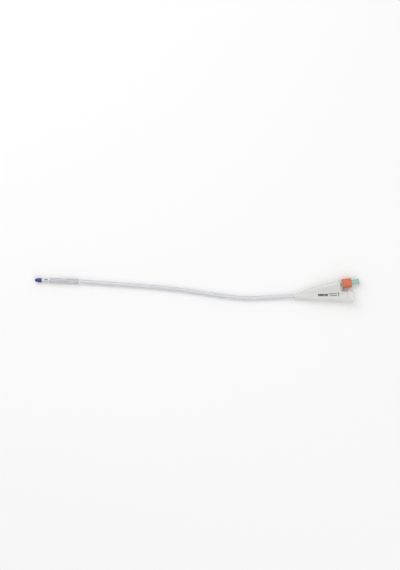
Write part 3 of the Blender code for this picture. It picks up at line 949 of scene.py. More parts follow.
@dataclass(frozen=True)
class MouldedFinish(Finish):
    """A moulded body's finish, with a thin mould line where its halves met.

    The rise attribute's first value says where a thin wall lets more show through.
    """

    line_width: float = 0.16 * MM
    window_alpha: float = 0.42

    def sources(self, tree: Tree, grain: Node, groups: ShaderGroups) -> dict[str, Socket]:
        """Name what feeds the shader, with the mould line and the thin wall.

        Args:
            tree: The material's tree.
            grain: The grain group's node.
            groups: The shared shader groups.

        Returns:
            Sockets by the shader's input.
        """
        found = super().sources(tree, grain, groups)
        rise = tree.add("ShaderNodeAttribute", attribute_name=RISE_ATTRIBUTE).outputs["Vector"]
        thin, _, height = tree.add("ShaderNodeSeparateXYZ", {0: rise}).outputs
        values = {"Rise": height, "Width": self.line_width, "Normal": found["Normal"]}
        found["Normal"] = tree.out("ShaderNodeGroup", values, node_tree=groups.seam)
        values = {"Value": thin, "To Min": 1.0, "To Max": self.window_alpha}
        found["Alpha"] = tree.out("ShaderNodeMapRange", values)
        return found


@dataclass
class Workshop:
    """What every sub-assembly shares: the layout, the trees and the shader groups."""

    layout: Layout
    trees: GeometryTrees
    groups: ShaderGroups

    def hand_over(self, piece: Thing, finish: Finish, node: str, body: str = MAIN_BODY) -> Thing:
        """Dress a finished piece and let it stand for its solid.

        Args:
            piece: The finished mesh.
            finish: Its finish.
            node: The solid that it stands for, which is hidden.
            body: The body that it rides on.

        Returns:
            The piece.
        """
        dressed(piece, finish.dress(self.groups))
        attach(piece, body)
        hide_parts(node)
        LOG.info("%s: %d faces, on %s", piece.name, len(piece.data.polygons), body)
        return piece


@dataclass
class Shaft:
    """The two-lumen tube with its drainage eyes."""

    shop: Workshop
    radius: float = 2.665 * MM
    drain_radius: float = 1.45 * MM
    drain_offset: float = -0.35 * MM
    inflation_radius: float = 0.4 * MM
    inflation_offset: float = 1.95 * MM
    inflation_end: float = 8.0 * MM
    start: float = 8.6 * MM
    socket_gap: float = 0.3 * MM
    eye_width: float = 2.1 * MM
    eye_length: float = 4.6 * MM
    eye_places: tuple[float, float] = (14.3 * MM, 15.8 * MM)
    eye_flare: float = 0.28 * MM
    eye_sides: int = 48
    flare_steps: int = 6
    flare_root: float = 2.2
    flare_height: float = 1.6
    flare_top: float = 2.4
    port_along: float = 36.25 * MM
    port_radius: float = 0.45 * MM
    overcut: float = 1.0 * MM
    fine_until: float = 19.0 * MM
    fine_step: float = 0.22 * MM
    step: float = 1.3 * MM
    sides: int = 56
    path_points: int = 60
    finish: StripedFinish = StripedFinish(
        "shaft_silicone", light=(0.95, 0.942, 0.99), dark=(0.925, 0.917, 0.97), smooth=0.14,
        rough=0.2, relief=0.002 * MM, clear=0.36, glow=1.0, stripe=(0.76, 0.77, 0.92),
    )

    @property
    def end(self) -> float:
        """Find where the tube ends in the funnel's socket, along the shaft."""
        return self.shop.layout.neck_along + self.shop.layout.socket_depth - self.socket_gap

    def stops(self) -> list[float]:
        """Space the sections: close at the eyes, wider along the rest."""
        start, split, end = self.start, self.fine_until, self.end
        near = np.linspace(start, split, max(2, round((split - start) / self.fine_step)))
        far = np.linspace(split, end, max(2, round((end - split) / self.step)))
        return [float(s) for s in (*near, *far[1:])]

    def tube(
        self, name: str, stops: list[float], radius: float, sides: int, aside: float
    ) -> Thing:
        """Sweep one tube or lumen.

        Args:
            name: The object's name.
            stops: Its sections, as lengths along the shaft.
            radius: Its radius.
            sides: Facets round it.
            aside: Distance to the left of the shaft's axis.

        Returns:
            The plain mesh object.
        """
        line = self.shop.layout.shaft
        route = Centreline(line.place(s) @ Vector((0, aside, 0)) for s in stops)
        return self.shop.trees.make_tube(name, route, radius, sides)

    def eye_cutter(self, along: float, side: EyeSide) -> Thing:
        """Make the cutter of one eye, which flares at the surface into a soft rim.

        Args:
            along: The eye's middle, along the shaft.
            side: Which eye it is.

        Returns:
            The cutter.
        """
        frame = self.shop.layout.shaft.place(along)
        frame = frame @ Matrix.Rotation(side.value - math.pi / 2, 4, "X")
        narrow, flare = self.eye_width / 2, self.eye_flare
        half = self.eye_length / 2 - narrow
        levels = [(self.drain_radius / 3, 0.0), (self.radius - self.flare_root * flare, 0.0)]
        for come_in, out in quarter(self.flare_steps):
            height = self.radius - flare * self.flare_height * (1 - out)
            levels.append((height, flare * come_in))
        levels.append((self.radius + self.overcut, flare * self.flare_top))
        bm = bmesh.new()
        rings = []
        for height, grow in levels:
            ring = []
            for step in range(self.eye_sides):
                turn = 2 * math.pi * step / self.eye_sides
                middle = half if math.cos(turn) > 0 else -half
                out, across = (narrow + grow) * math.cos(turn), (narrow + grow) * math.sin(turn)
                ring.append(bm.verts.new(frame @ Vector((middle + out, across, height))))
            rings.append(ring)
        stack(bm, rings)
        return mesh_object(f"eye_cutter_{side.name.lower()}", bm)

    def port_cutter(self) -> Thing:
        """Make the cutter of the small hole that fills the balloon."""
        frame = self.shop.layout.shaft.place(self.port_along)
        line = Centreline([frame @ Vector((0, y, 0)) for y in (0, 2 * self.radius)])
        low, high, wide = self.inflation_offset, self.radius + self.overcut, self.port_radius
        outline = [(low, 0.0), (low, wide), (high, wide), (high, 0.0)]
        return turned("port_cutter", line, outline, 24)

    def build(self) -> Thing:
        """Make the tube, cut its lumens and eyes, and lay the stripe's attribute."""
        stops, end, over = self.stops(), self.end, self.overcut
        tube = self.tube("shaft_tube", stops, self.radius, self.sides, 0.0)
        past = [self.start - over, *stops[1:-1], end + over]
        small = [s for s in stops if self.port_along - over < s < end - self.inflation_end]
        upper, lower = self.eye_places
        cutters = [
            self.tube("drain_cutter", past, self.drain_radius, 32, self.drain_offset),
            self.tube("inflation_cutter", small, self.inflation_radius, 16, self.inflation_offset),
            self.port_cutter(),
            self.eye_cutter(upper, EyeSide.UPPER),
            self.eye_cutter(lower, EyeSide.LOWER),
        ]
        tube = combine(tube, cutters, Cut.AWAY)
        store_section(tube, self.shop.layout.shaft, self.radius)
        return self.shop.hand_over(shade(tube, 42), self.finish, "shaft")

    def declare(self, on_it: Sequence[Thing]) -> None:
        """Read points along the shaft, a free silicone tube, from the funnel's neck to its start,
        and keep none of them.

        Args:
            on_it: Not used; the pieces that it carries, its nose and its balloon.
        """
        layout = self.shop.layout
        stops = np.linspace(self.end, self.start, self.path_points)
        tuple(layout.shaft.at(layout.neck_along))
        [tuple(layout.shaft.at(float(s))) for s in stops]


@dataclass
class Tip:
    """The moulded blue nose, with the spigot that plugs the drainage lumen."""

    shop: Workshop
    radius: float = 2.665 * MM
    length: float = 8.58 * MM
    nose: float = 5.2 * MM
    nose_steps: int = 18
    edge: float = 0.05 * MM
    spigot_radius: float = 1.43 * MM
    spigot_end: float = 10.7 * MM
    spigot_offset: float = -0.35 * MM
    finish: Finish = Finish(
        "tip_silicone", light=(0.060, 0.080, 0.29), dark=(0.036, 0.048, 0.22), smooth=0.22,
        rough=0.33, clear=0.18, glow=0.25,
    )

    def build(self) -> Thing:
        """Turn the nose and join the spigot to it."""
        line = self.shop.layout.shaft
        outline: Outline = [(0.0, 0.0)]
        outline += [(self.nose * x, self.radius * r) for x, r in quarter(self.nose_steps)]
        outline += [(self.length - self.edge, self.radius), (self.length, self.radius - self.edge)]
        outline.append((self.length, 0.0))
        nose = turned("tip_nose", line, outline, 64)
        corners = [
            Corner(self.nose, 0.0), Corner(self.nose, self.spigot_radius),
            Corner(self.spigot_end, self.spigot_radius, 0.5 * MM), Corner(self.spigot_end, 0.0),
        ]
        spigot = turned("spigot", line, rounded(corners), 48, aside=self.spigot_offset)
        return self.shop.hand_over(shade(combine(nose, [spigot], Cut.JOIN)), self.finish, "tip")


@dataclass
class Balloon:
    """The empty balloon: a pleated sleeve between two bonded cuffs."""

    shop: Workshop
    start: float = 18.5 * MM
    length: float = 35.5 * MM
    bore: float = 2.685 * MM
    lip: float = 0.14 * MM
    ramp: float = 1.4 * MM
    cuff_length: float = 5.5 * MM
    cuff_radius: float = 3.12 * MM
    radius: float = 3.27 * MM
    longest: float = 0.45 * MM
    pleats: float = 9.0
    pleat_depth: float = 0.055 * MM
    pleat_fade: float = 5.0 * MM
    inner_share: float = 0.93
    finish: Finish = Finish(
        "balloon_silicone", light=(0.955, 0.952, 0.985), dark=(0.93, 0.927, 0.965), smooth=0.18,
        rough=0.28, relief=0.003 * MM, clear=0.6, bend=1.2, glow=1.0, clouds=320.0,
    )

    def build(self) -> Thing:
        """Turn the sleeve's closed section round the shaft and pleat it."""
        line, start, end = self.shop.layout.shaft, self.start, self.start + self.length
        front = [
            Corner(start, self.bore, 0.04 * MM),
            Corner(start, self.bore + self.lip, 0.08 * MM),
            Corner(start + self.ramp / 2, self.cuff_radius, 0.5 * MM),
            Corner(start + self.cuff_length, self.cuff_radius, 0.6 * MM),
            Corner(start + self.cuff_length + self.ramp, self.radius, 0.6 * MM),
        ]
        back = [Corner(2 * start + self.length - c.along, c.radius, c.fillet) for c in front[::-1]]
        loop = rounded([*front, *back], closed=True)
        loop = refined([*loop, loop[0]], self.longest)[:-1]
        sleeve = turned("balloon_sleeve", line, loop, 108, closed=True)
        store_section(sleeve, line, self.radius)
        values = {
            "Start": start + self.cuff_length, "End": end - self.cuff_length,
            "Fade": self.pleat_fade, "Inner Share": self.inner_share, "Pleats": self.pleats,
            "Depth": self.pleat_depth,
        }
        sleeve = run_tree(sleeve, self.shop.trees.pleats, "balloon_sleeve", values)
        return self.shop.hand_over(shade(sleeve), self.finish, "balloon")


@dataclass
class Funnel:
    """The moulded Y: drainage funnel and inflation arm, blended into one body.

    The outside is found as the zero surface of three fields that melt together: the
    funnel, the arm and the web in their crotch. The bores are then cut into it.
    """

    shop: Workshop
    neck_radius: float = 3.5 * MM
    body_start: float = 12.0 * MM
    body_radius: float = 4.3 * MM
    body_end_radius: float = 6.8 * MM
    rim_fillet: float = 0.7 * MM
    rim_over: float = 0.02 * MM
    shoulder_back: float = 0.9 * MM
    shoulder_front: float = 0.4 * MM
    bore: float = 2.675 * MM
    cone_start_radius: float = 1.9 * MM
    mouth_radius: float = 5.1 * MM
    arm_root_radius: float = 3.2 * MM
    arm_radius: float = 4.2 * MM
    arm_end_radius: float = 4.6 * MM
    arm_swell: float = 20.0 * MM
    end_swell: float = 4.0 * MM
    arm_gap: float = 0.3 * MM
    channel_radius: float = 1.0 * MM
    channel_start: float = 6.0 * MM
    channel_step: float = 1.2 * MM
    pocket_radius: float = 3.12 * MM
    pocket_back: float = 13.05 * MM
    pocket_taper: float = 2.0 * MM
    pocket_end_radius: float = 2.13 * MM
    web_start: float = 14.0 * MM
    web_end: float = 57.0 * MM
    web_half: float = 2.2 * MM
    web_nose: float = 1.6 * MM
    web_steep: float = 10.0
    least_gap: float = 0.5 * MM
    window_fade: float = 1.6 * MM
    melt: float = 2.4 * MM
    voxel: float = 0.34 * MM
    even_share: float = 0.5
    even_rounds: int = 4
    longest: float = 1.5 * MM
    past: float = 2.0 * MM
    overcut: float = 3.0 * MM
    nudge: float = 0.02 * MM
    settle_rounds: int = 5
    least_slope: float = 0.25
    farthest_move: float = 0.3 * MM
    outer_skin: float = 0.1 * MM
    bore_depth: float = 0.25 * MM
    finish: MouldedFinish = MouldedFinish(
        "funnel_silicone", light=(0.985, 0.982, 0.91), dark=(0.965, 0.962, 0.885), smooth=0.14,
        rough=0.22, relief=0.004 * MM, clear=0.34, bend=1.36, glow=1.0,
    )
    bore_finish: Finish = Finish(
        "bore_silicone", light=(0.985, 0.982, 0.948), dark=(0.965, 0.962, 0.922), smooth=0.14,
        rough=0.22, relief=0.004 * MM, clear=0.92, bend=1.36,
    )

    def body_outline(self) -> Outline:
        """Draw the funnel's outer radii, straight on past the neck and the rim."""
        layout = self.shop.layout
        rim = layout.funnel_length - layout.rim_length
        corners = [
            Corner(-self.past, self.neck_radius),
            Corner(0, self.neck_radius, 0.5 * MM),
            Corner(layout.neck_crest, layout.crest_radius, 1.2 * MM),
            Corner(self.body_start, self.body_radius, 4 * MM),
            Corner(rim - self.shoulder_back, self.body_end_radius, 0.8 * MM),
            Corner(rim + self.shoulder_front, layout.rim_radius, 0.9 * MM),
            Corner(layout.funnel_length + self.past, layout.rim_radius),
        ]
        return rounded(corners, steps=8)

    def arm_outline(self) -> Outline:
        """Draw the arm's outer radii along its own route."""
        length = self.shop.layout.arm.length
        swell = length - self.pocket_back - self.end_swell
        corners = [
            Corner(0, self.arm_root_radius),
            Corner(self.arm_swell, self.arm_radius, 8 * MM),
            Corner(swell - self.end_swell, self.arm_radius, 2 * MM),
            Corner(swell, self.arm_end_radius, 2 * MM),
            Corner(length + self.past, self.arm_end_radius),
        ]
        return rounded(corners, steps=8)

    def field(self, places: Rows) -> Rows:
        """Read the melted field of funnel, arm and web.

        Args:
            places: Points, one row each.

        Returns:
            About the distance outside the surface, negative inside.
        """
        on_body = self.shop.layout.funnel.measure(places)
        on_arm = self.shop.layout.arm.measure(places)
        gaps = []
        for read, outline in ((on_body, self.body_outline()), (on_arm, self.arm_outline())):
            stops, radii = np.array(outline).T
            gaps.append(np.hypot(read[:, 1], read[:, 2]) - np.interp(read[:, 0], stops, radii))
        body_gap, arm_gap = gaps
        behind = np.maximum(-on_arm[:, 0], 0)
        arm_gap = np.hypot(np.maximum(arm_gap, 0), behind) + np.minimum(arm_gap, 0)
        reach = self.melt * smoothstep(on_arm[:, 0] / self.arm_swell) + TINY
        web_gap = self.web_field(places, on_body)
        return self.melted(self.melted(body_gap, arm_gap, reach), web_gap, reach)

    def web_field(self, places: Rows, on_body: Rows) -> Rows:
        """Read the web's field: a thick sheet between the two axes, up to its free edge.

        Args:
            places: Points, one row each.
            on_body: The same points, read against the funnel's axis.

        Returns:
            About the distance outside the web.
        """
        nose, steep, across = self.web_nose, self.web_steep, self.between(places)
        flat = np.abs(self.rise(places)) - self.web_half + nose
        ahead = on_body[:, 0] - self.web_end + nose
        edge = np.minimum(np.maximum(flat, ahead), 0) - nose
        edge += np.hypot(np.maximum(flat, 0), np.maximum(ahead, 0))
        return np.maximum.reduce([edge, -across * steep * MM, (across - 1) * steep * MM])

    def between(self, places: Rows) -> Rows:
        """Read how far each point lies from the funnel's axis (0) to the arm's (1)."""
        arm = self.shop.layout.arm.points
        axis_y = self.shop.layout.funnel.points[0, 1]
        arm_y = np.interp(places[:, 0], arm[:, 0], arm[:, 1])
        return (places[:, 1] - axis_y) / np.maximum(arm_y - axis_y, self.least_gap)

    def rise(self, places: Rows) -> Rows:
        """Read each point's height above the sheet through both axes."""
        line, arm = self.shop.layout.funnel.points, self.shop.layout.arm.points
        slope = (line[1, 2] - line[0, 2]) / (line[1, 0] - line[0, 0])
        body_z = line[0, 2] + slope * (places[:, 0] - line[0, 0])
        arm_z = np.interp(places[:, 0], arm[:, 0], arm[:, 2])
        share = np.clip(self.between(places), 0, 1)
        return places[:, 2] - (body_z * (1 - share) + arm_z * share)

    def thin_wall(self, places: Rows) -> Rows:
        """Read where the thin wall over the valve's pocket is: 1 there, 0 elsewhere."""
        arm = self.shop.layout.arm
        read = arm.measure(places)
        back = arm.length - self.pocket_back
        over = smoothstep((read[:, 0] - back) / self.window_fade + 0.5)
        away = np.hypot(read[:, 1], read[:, 2]) - self.arm_end_radius
        return over * (1 - smoothstep(away / self.window_fade))

    def melted(self, first: Rows, second: Rows, reach: Rows) -> Rows:
        """Join two fields with a fillet of a given reach where they meet."""
        near = np.maximum(reach - np.abs(first - second), 0) / reach
        return np.minimum(first, second) - near * near * reach / 4

    def settle(self, thing: Thing) -> None:
        """Move a rough mesh's vertices onto the field's zero surface."""
        places = vertices_of(thing.data)
        for _ in range(self.settle_rounds):
            here = self.field(places)
            ahead = [self.field(places + self.nudge * row) for row in np.eye(3)]
            slope = np.stack([(value - here) / self.nudge for value in ahead], 1)
            steep = np.maximum((slope * slope).sum(1), self.least_slope)
            step = np.clip(here, -self.farthest_move, self.farthest_move) / steep
            places = places - slope * step[:, None]
        thing.data.vertices.foreach_set("co", places.ravel())
        thing.data.update()

    def outside(self) -> Thing:
        """Make the blended outside, closed and a little longer than the real body."""
        layout = self.shop.layout
        line, arm_line = layout.funnel, layout.arm
        body = turned("funnel_body", line, refined(self.body_outline(), self.longest), 64)
        arm = turned("arm_rough", arm_line, refined(self.arm_outline(), self.longest), 64)
        bm = bmesh.new()
        ends = [line.at(self.web_start), line.at(self.web_end)]
        for end in ends[::-1]:
            along = np.interp(end.x, arm_line.points[:, 0], arm_line.marks)
            ends.append(arm_line.at(float(along)))
        low = [bm.verts.new(end - Vector((0, 0, self.web_half))) for end in ends]
        high = [bm.verts.new(end + Vector((0, 0, self.web_half))) for end in ends]
        stack(bm, [low, high])
        body = combine(body, [arm, mesh_object("web_rough", bm)], Cut.JOIN)
        step = body.modifiers.new("even_mesh", "REMESH")
        step.mode, step.voxel_size = "VOXEL", self.voxel
        smooth = body.modifiers.new("even_out", "SMOOTH")
        smooth.factor, smooth.iterations = self.even_share, self.even_rounds
        body = baked(body)
        self.settle(body)
        return body

    def bore_cutters(self) -> list[Thing]:
        """Make the cutters: socket with the neck's face, cone with the mouth's rim."""
        layout = self.shop.layout
        depth, length = layout.socket_depth, layout.funnel_length
        wide, past = layout.rim_radius + self.past, self.overcut
        socket = rounded([
            Corner(-past, 0), Corner(-past, wide), Corner(0, wide),
            Corner(0, self.bore, 0.25 * MM), Corner(depth, self.bore, 0.2 * MM), Corner(depth, 0),
        ])
        slope = (self.mouth_radius - self.cone_start_radius) / (length - depth)
        cone = rounded([
            Corner(depth - MM, 0),
            Corner(depth - MM, self.cone_start_radius - slope * MM),
            Corner(length, self.mouth_radius, 0.5 * MM),
            Corner(length, layout.rim_radius, self.rim_fillet),
            Corner(length - self.rim_fillet, layout.rim_radius + self.rim_over),
            Corner(length - self.rim_fillet, wide),
            Corner(length + past, wide), Corner(length + past, 0),
        ], steps=7)
        return [
            turned("socket_cutter", layout.funnel, socket, 64),
            turned("cone_cutter", layout.funnel, cone, 96),
        ]

    def arm_cutters(self) -> list[Thing]:
        """Make the cutters of the valve's pocket and of the inflation channel."""
        arm = self.shop.layout.arm
        back, face = arm.length - self.pocket_back, arm.length - self.arm_gap
        wide, past = self.arm_end_radius + self.past, arm.length + self.overcut
        pocket = rounded([
            Corner(back, 0), Corner(back, self.pocket_end_radius),
            Corner(back + self.pocket_taper, self.pocket_radius, 0.4 * MM),
            Corner(face, self.pocket_radius, 0.2 * MM),
            Corner(face, wide), Corner(past, wide), Corner(past, 0),
        ])
        start, end = self.channel_start, back + MM
        count = max(2, round((end - start) / self.channel_step) + 1)
        stops = np.linspace(start, end, count)
        channel = Centreline(arm.at(float(s)) for s in stops)
        tube = self.shop.trees.make_tube("channel_cutter", channel, self.channel_radius, 32)
        return [turned("pocket_cutter", arm, pocket, 64), tube]

    def on_rim(self, places: Rows) -> Rows:
        """Tell which points lie on the end face of the mouth's rim."""
        read = self.shop.layout.funnel.measure(places)
        near_end = read[:, 0] > self.shop.layout.funnel_length - self.rim_fillet
        wide = np.hypot(read[:, 1], read[:, 2]) > self.mouth_radius + 0.5 * self.rim_fillet
        return near_end & wide

    def build(self) -> Thing:
        """Make the blended body, cut its bores and give their walls a clearer finish."""
        cutters = [*self.bore_cutters(), *self.arm_cutters()]
        body = combine(self.outside(), cutters, Cut.AWAY)
        places = vertices_of(body.data)
        rise = np.zeros_like(places)
        outer = np.abs(self.field(places)) < self.outer_skin
        rise[:, 2] = np.where(outer, self.rise(places), 1.0)
        rise[:, 0] = self.thin_wall(places)
        store_vectors(body.data, RISE_ATTRIBUTE, rise)
        body = self.shop.hand_over(shade(body, 35), self.finish, "funnel")
        body.data.materials.append(self.bore_finish.dress(self.shop.groups))
        middles = np.array([tuple(face.center) for face in body.data.polygons])
        inside = (self.field(middles) < -self.bore_depth) & ~self.on_rim(middles)
        body.data.polygons.foreach_set("material_index", inside.astype(np.int32))
        return body


@dataclass
class PrintMarks:
    """Plain dark marks on the funnel's upper side, in place of lettering."""

    shop: Workshop
    funnel: Thing
    ink_height: float = 0.02 * MM
    thickness: float = 0.03 * MM
    above: float = 20.0 * MM
    finish: Finish = Finish(
        "print_ink", light=(0.035, 0.035, 0.037), dark=(0.02, 0.02, 0.022), smooth=0.45,
        rough=0.6, relief=0.005 * MM,
    )

    def rows(self) -> list[tuple[float, ...]]:
        """List the rows: start along, aside, count, pitch, height and seed."""
        return [
            (28.6, 2.0, 9, 1.36, 2.5, 3),
            (41.6, 3.5, 10, 1.0, 0.8, 5),
            (42.6, 1.4, 9, 1.0, 0.8, 8),
            (53.1, 2.9, 1, 1.15, 4.6, 2),
        ]

    def build(self) -> Thing:
        """Lay the rows out flat, drop them onto the funnel and give them a thickness."""
        target = BVHTree.FromObject(self.funnel, bpy.context.evaluated_depsgraph_get())
        marks = bmesh.new()
        for along, aside, count, pitch, height, seed in self.rows():
            values = {"Count": count, "Pitch": pitch * MM, "Height": height * MM, "Seed": seed}
            made = run_tree(empty_host(), self.shop.trees.bars, "row_of_marks", values)
            made.data.transform(Matrix.Translation((along * MM, aside * MM, 0)))
            marks.from_mesh(made.data)
            bpy.data.objects.remove(made)
        frame = self.shop.layout.funnel.place(0)
        down = frame.to_3x3() @ Vector((0, 0, -1))
        for vertex in marks.verts:
            above = frame @ Vector((vertex.co.x, vertex.co.y, self.above))
            hit, normal, _, _ = target.ray_cast(above, down)
            vertex.co = hit + normal * self.ink_height
        piece = mesh_object("print_marks", marks)
        wall = piece.modifiers.new("thickness", "SOLIDIFY")
        wall.thickness, wall.offset = self.thickness, -1
        piece = dressed(shade(baked(piece)), self.finish.dress(self.shop.groups))
        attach(piece, MAIN_BODY)
        LOG.info("%s: %d faces", piece.name, len(piece.data.polygons))
        return piece


@dataclass
class Valve:
    """The luer valve: collar, inlet, barrel, plunger and spring, on one level axis."""

    shop: Workshop
    collar_radius: float = 5.8 * MM
    collar_back: float = 10.0 * MM
    collar_front: float = 1.2 * MM
    collar_bore: float = 4.62 * MM
    groove_depth: float = 0.16 * MM
    groove_places: tuple[float, float, float, float] = (1.7 * MM, 1.9 * MM, 2.3 * MM, 2.5 * MM)
    front_places: tuple[float, float, float, float] = (2.3 * MM, 2.1 * MM, 1.7 * MM, 1.5 * MM)
    flange_radius: float = 3.75 * MM
    flange_thickness: float = 1.4 * MM
    flange_gap: float = 0.05 * MM
    flange_seat: float = 0.1 * MM
    inlet_radius: float = 3.35 * MM
    inlet_length: float = 10.8 * MM
    neck_radius: float = 2.2 * MM
    neck_length: float = 1.6 * MM
    throat_radius: float = 1.35 * MM
    luer_radius: float = 2.146 * MM
    luer_depth: float = 8.2 * MM
    luer_taper: float = 0.03
    lug_root: float = 2.6 * MM
    lug_radius: float = 3.9 * MM
    lug_width: float = 4.4 * MM
    lug_thickness: float = 1.5 * MM
    lug_setback: float = 0.4 * MM
    lug_bevel: float = 0.2 * MM
    band_middle: float = 0.6
    rib_count: int = 4
    rib_turn: float = math.radians(45)
    rib_width: float = 0.55 * MM
    rib_height: float = 0.7 * MM
    rib_start: float = 0.3 * MM
    rib_room: float = 1.6 * MM
    rib_sunk: float = 0.05 * MM
    rib_bevel: float = 0.12 * MM
    barrel_radius: float = 3.1 * MM
    barrel_wall: float = 0.6 * MM
    barrel_back: float = 13.0 * MM
    barrel_taper: float = 2.0 * MM
    barrel_end_radius: float = 2.1 * MM
    outlet_radius: float = 0.8 * MM
    outlet_wall: float = 1.5 * MM
    disc_front: float = -2.8 * MM
    disc_thickness: float = 0.8 * MM
    disc_radius: float = 2.1 * MM
    rod_radius: float = 0.85 * MM
    rod_reach: float = 4.2 * MM
    tail_radius: float = 0.7 * MM
    tail_length: float = 4.9 * MM
    coil_radius: float = 1.45 * MM
    wire_radius: float = 0.22 * MM
    turns: float = 7.0
    gap: float = 0.3 * MM
    travel: float = 1.6 * MM
    collar_finish: Finish = Finish(
        "collar_silicone", light=(0.68, 0.197, 0.101), dark=(0.585, 0.155, 0.076), smooth=0.36,
        rough=0.5, glow=0.2, clouds=420.0,
    )
    inlet_finish: Finish = Finish(
        "inlet_plastic", light=(0.445, 0.66, 0.61), dark=(0.38, 0.60, 0.56), smooth=0.2,
        rough=0.3, clear=0.15, bend=1.49, glow=0.1,
    )
    barrel_finish: Finish = Finish(
        "barrel_plastic", light=(0.040, 0.055, 0.052), dark=(0.026, 0.038, 0.036), smooth=0.3,
        rough=0.42, bend=1.49,
    )
    stem_finish: Finish = Finish(
        "stem_plastic", light=(0.80, 0.82, 0.80), dark=(0.74, 0.76, 0.74), smooth=0.25,
        rough=0.36, bend=1.49,
    )
    spring_finish: Finish = Finish(
        "spring_steel", light=(0.62, 0.63, 0.65), dark=(0.50, 0.51, 0.54), smooth=0.18,
        rough=0.34, metal=1.0,
    )
    seal_finish: Finish = Finish(
        "seal_rubber", light=(0.03, 0.03, 0.032), dark=(0.02, 0.02, 0.022), smooth=0.5, rough=0.65
    )

    def turn(self, name: str, corners: Sequence[Corner], sides: int, closed: bool = True) -> Thing:
        """Turn a rounded outline round the valve's axis.

        Args:
            name: The object's name.
            corners: The outline's corners.
            sides: Facets round the axis.
            closed: Whether the outline is a loop.

        Returns:
            The solid.
        """
        return turned(name, self.shop.layout.valve, rounded(corners, closed), sides, closed)

    def groove(self, end: float, places: Sequence[float]) -> list[Corner]:
        """Draw a shallow groove's four corners, at given places from one end."""
        low, high = self.collar_radius - self.groove_depth, self.collar_radius
        sizes = ((high, 0.12 * MM), (low, 0.1 * MM), (low, 0.1 * MM), (high, 0.12 * MM))
        return [Corner(end + place, *size) for place, size in zip(places, sizes)]

    def collar(self) -> Thing:
        """Turn the orange collar: soft edges, two shallow grooves and a front lip."""
        back, front, outer = -self.collar_back, self.collar_front, self.collar_radius
        lip = self.flange_radius + self.flange_gap
        corners = [
            Corner(back, self.collar_bore, 0.3 * MM),
            Corner(back, outer, 0.6 * MM),
            *self.groove(back, self.groove_places),
            *self.groove(front, [-place for place in self.front_places]),
            Corner(front, outer, 0.6 * MM),
            Corner(front, lip, 0.25 * MM),
            Corner(self.flange_seat, lip),
            Corner(self.flange_seat, self.collar_bore),
        ]
        loop = refined(rounded([*corners, corners[0]], steps=6), 1.2 * MM)[:-1]
        return turned("valve_collar", self.shop.layout.valve, loop, 128, closed=True)

    def inlet(self) -> Thing:
        """Turn the luer inlet, add its lock lugs and its ribs."""
        mouth, bottom = self.inlet_length, self.inlet_length - self.luer_depth
        neck, flange = -self.neck_length, self.flange_thickness
        inlet = self.turn("luer_inlet", [
            Corner(neck, self.throat_radius, 0.12 * MM),
            Corner(neck, self.neck_radius, 0.12 * MM),
            Corner(0, self.neck_radius, 0.1 * MM),
            Corner(0, self.flange_radius, 0.12 * MM),
            Corner(flange, self.flange_radius, 0.3 * MM),
            Corner(flange, self.inlet_radius, 0.4 * MM),
            Corner(mouth, self.inlet_radius, 0.3 * MM),
            Corner(mouth, self.luer_radius, 0.12 * MM),
            Corner(bottom, self.luer_radius - self.luer_taper * self.luer_depth, 0.1 * MM),
            Corner(bottom, self.throat_radius, 0.1 * MM),
        ], 96)
        end = mouth - self.lug_setback
        start = end - self.lug_thickness
        lugs = self.turn("lugs", [
            Corner(start, self.lug_root), Corner(start, self.lug_radius, 0.25 * MM),
            Corner(end, self.lug_radius, 0.25 * MM), Corner(end, self.lug_root),
        ], 96)
        lugs = combine(lugs, [self.lug_band()], Cut.KEEP)
        return shade(combine(inlet, [lugs, self.ribs()], Cut.JOIN), 38)

    def lug_band(self) -> Thing:
        """Make the block that keeps the two lugs of a full ring."""
        size = (self.inlet_length, 4 * self.lug_radius, self.lug_width)
        bm = block(size, (self.inlet_length * self.band_middle, 0, 0))
        edges = [e for e in bm.edges if abs(e.verts[0].co.x - e.verts[1].co.x) < TINY]
        bmesh.ops.bevel(bm, geom=edges, offset=self.lug_bevel, segments=2, affect="EDGES")
        bmesh.ops.transform(bm, matrix=self.shop.layout.valve.place(0), verts=bm.verts)
        return mesh_object("lug_band", bm)

    def ribs(self) -> Thing:
        """Set four thin lengthwise ribs round the inlet's waist."""
        length = self.inlet_length - self.flange_thickness - self.lug_thickness
        length -= self.rib_room
        bm = block((length, self.rib_width, self.rib_height), (0, 0, 0))
        edges = list(bm.edges)
        bmesh.ops.bevel(bm, geom=edges, offset=self.rib_bevel, segments=2, affect="EDGES")
        values = {"Count": self.rib_count, "Radius": self.inlet_radius - self.rib_sunk}
        made = run_tree(mesh_object("rib", bm), self.shop.trees.ribs, "ribs", values)
        turn = Matrix.Rotation(self.rib_turn, 4, "X")
        middle = self.flange_thickness + length / 2 + self.rib_start
        move = Matrix.Translation((middle, 0, 0))
        made.data.transform(self.shop.layout.valve.place(0) @ turn @ move)
        return made

    def barrel(self) -> Thing:
        """Turn the inner housing with its chamber and outlet."""
        back, inner = -self.barrel_back, self.barrel_radius - self.barrel_wall
        return self.turn("valve_housing", [
            Corner(back, self.outlet_radius, 0.15 * MM),
            Corner(back, self.barrel_end_radius, 0.2 * MM),
            Corner(back + self.barrel_taper, self.barrel_radius, 0.3 * MM),
            Corner(-self.gap, self.barrel_radius, 0.1 * MM),
            Corner(-self.gap, inner, 0.1 * MM),
            Corner(back + self.outlet_wall, inner, 0.2 * MM),
            Corner(back + self.outlet_wall, self.outlet_radius, 0.1 * MM),
        ], 72)

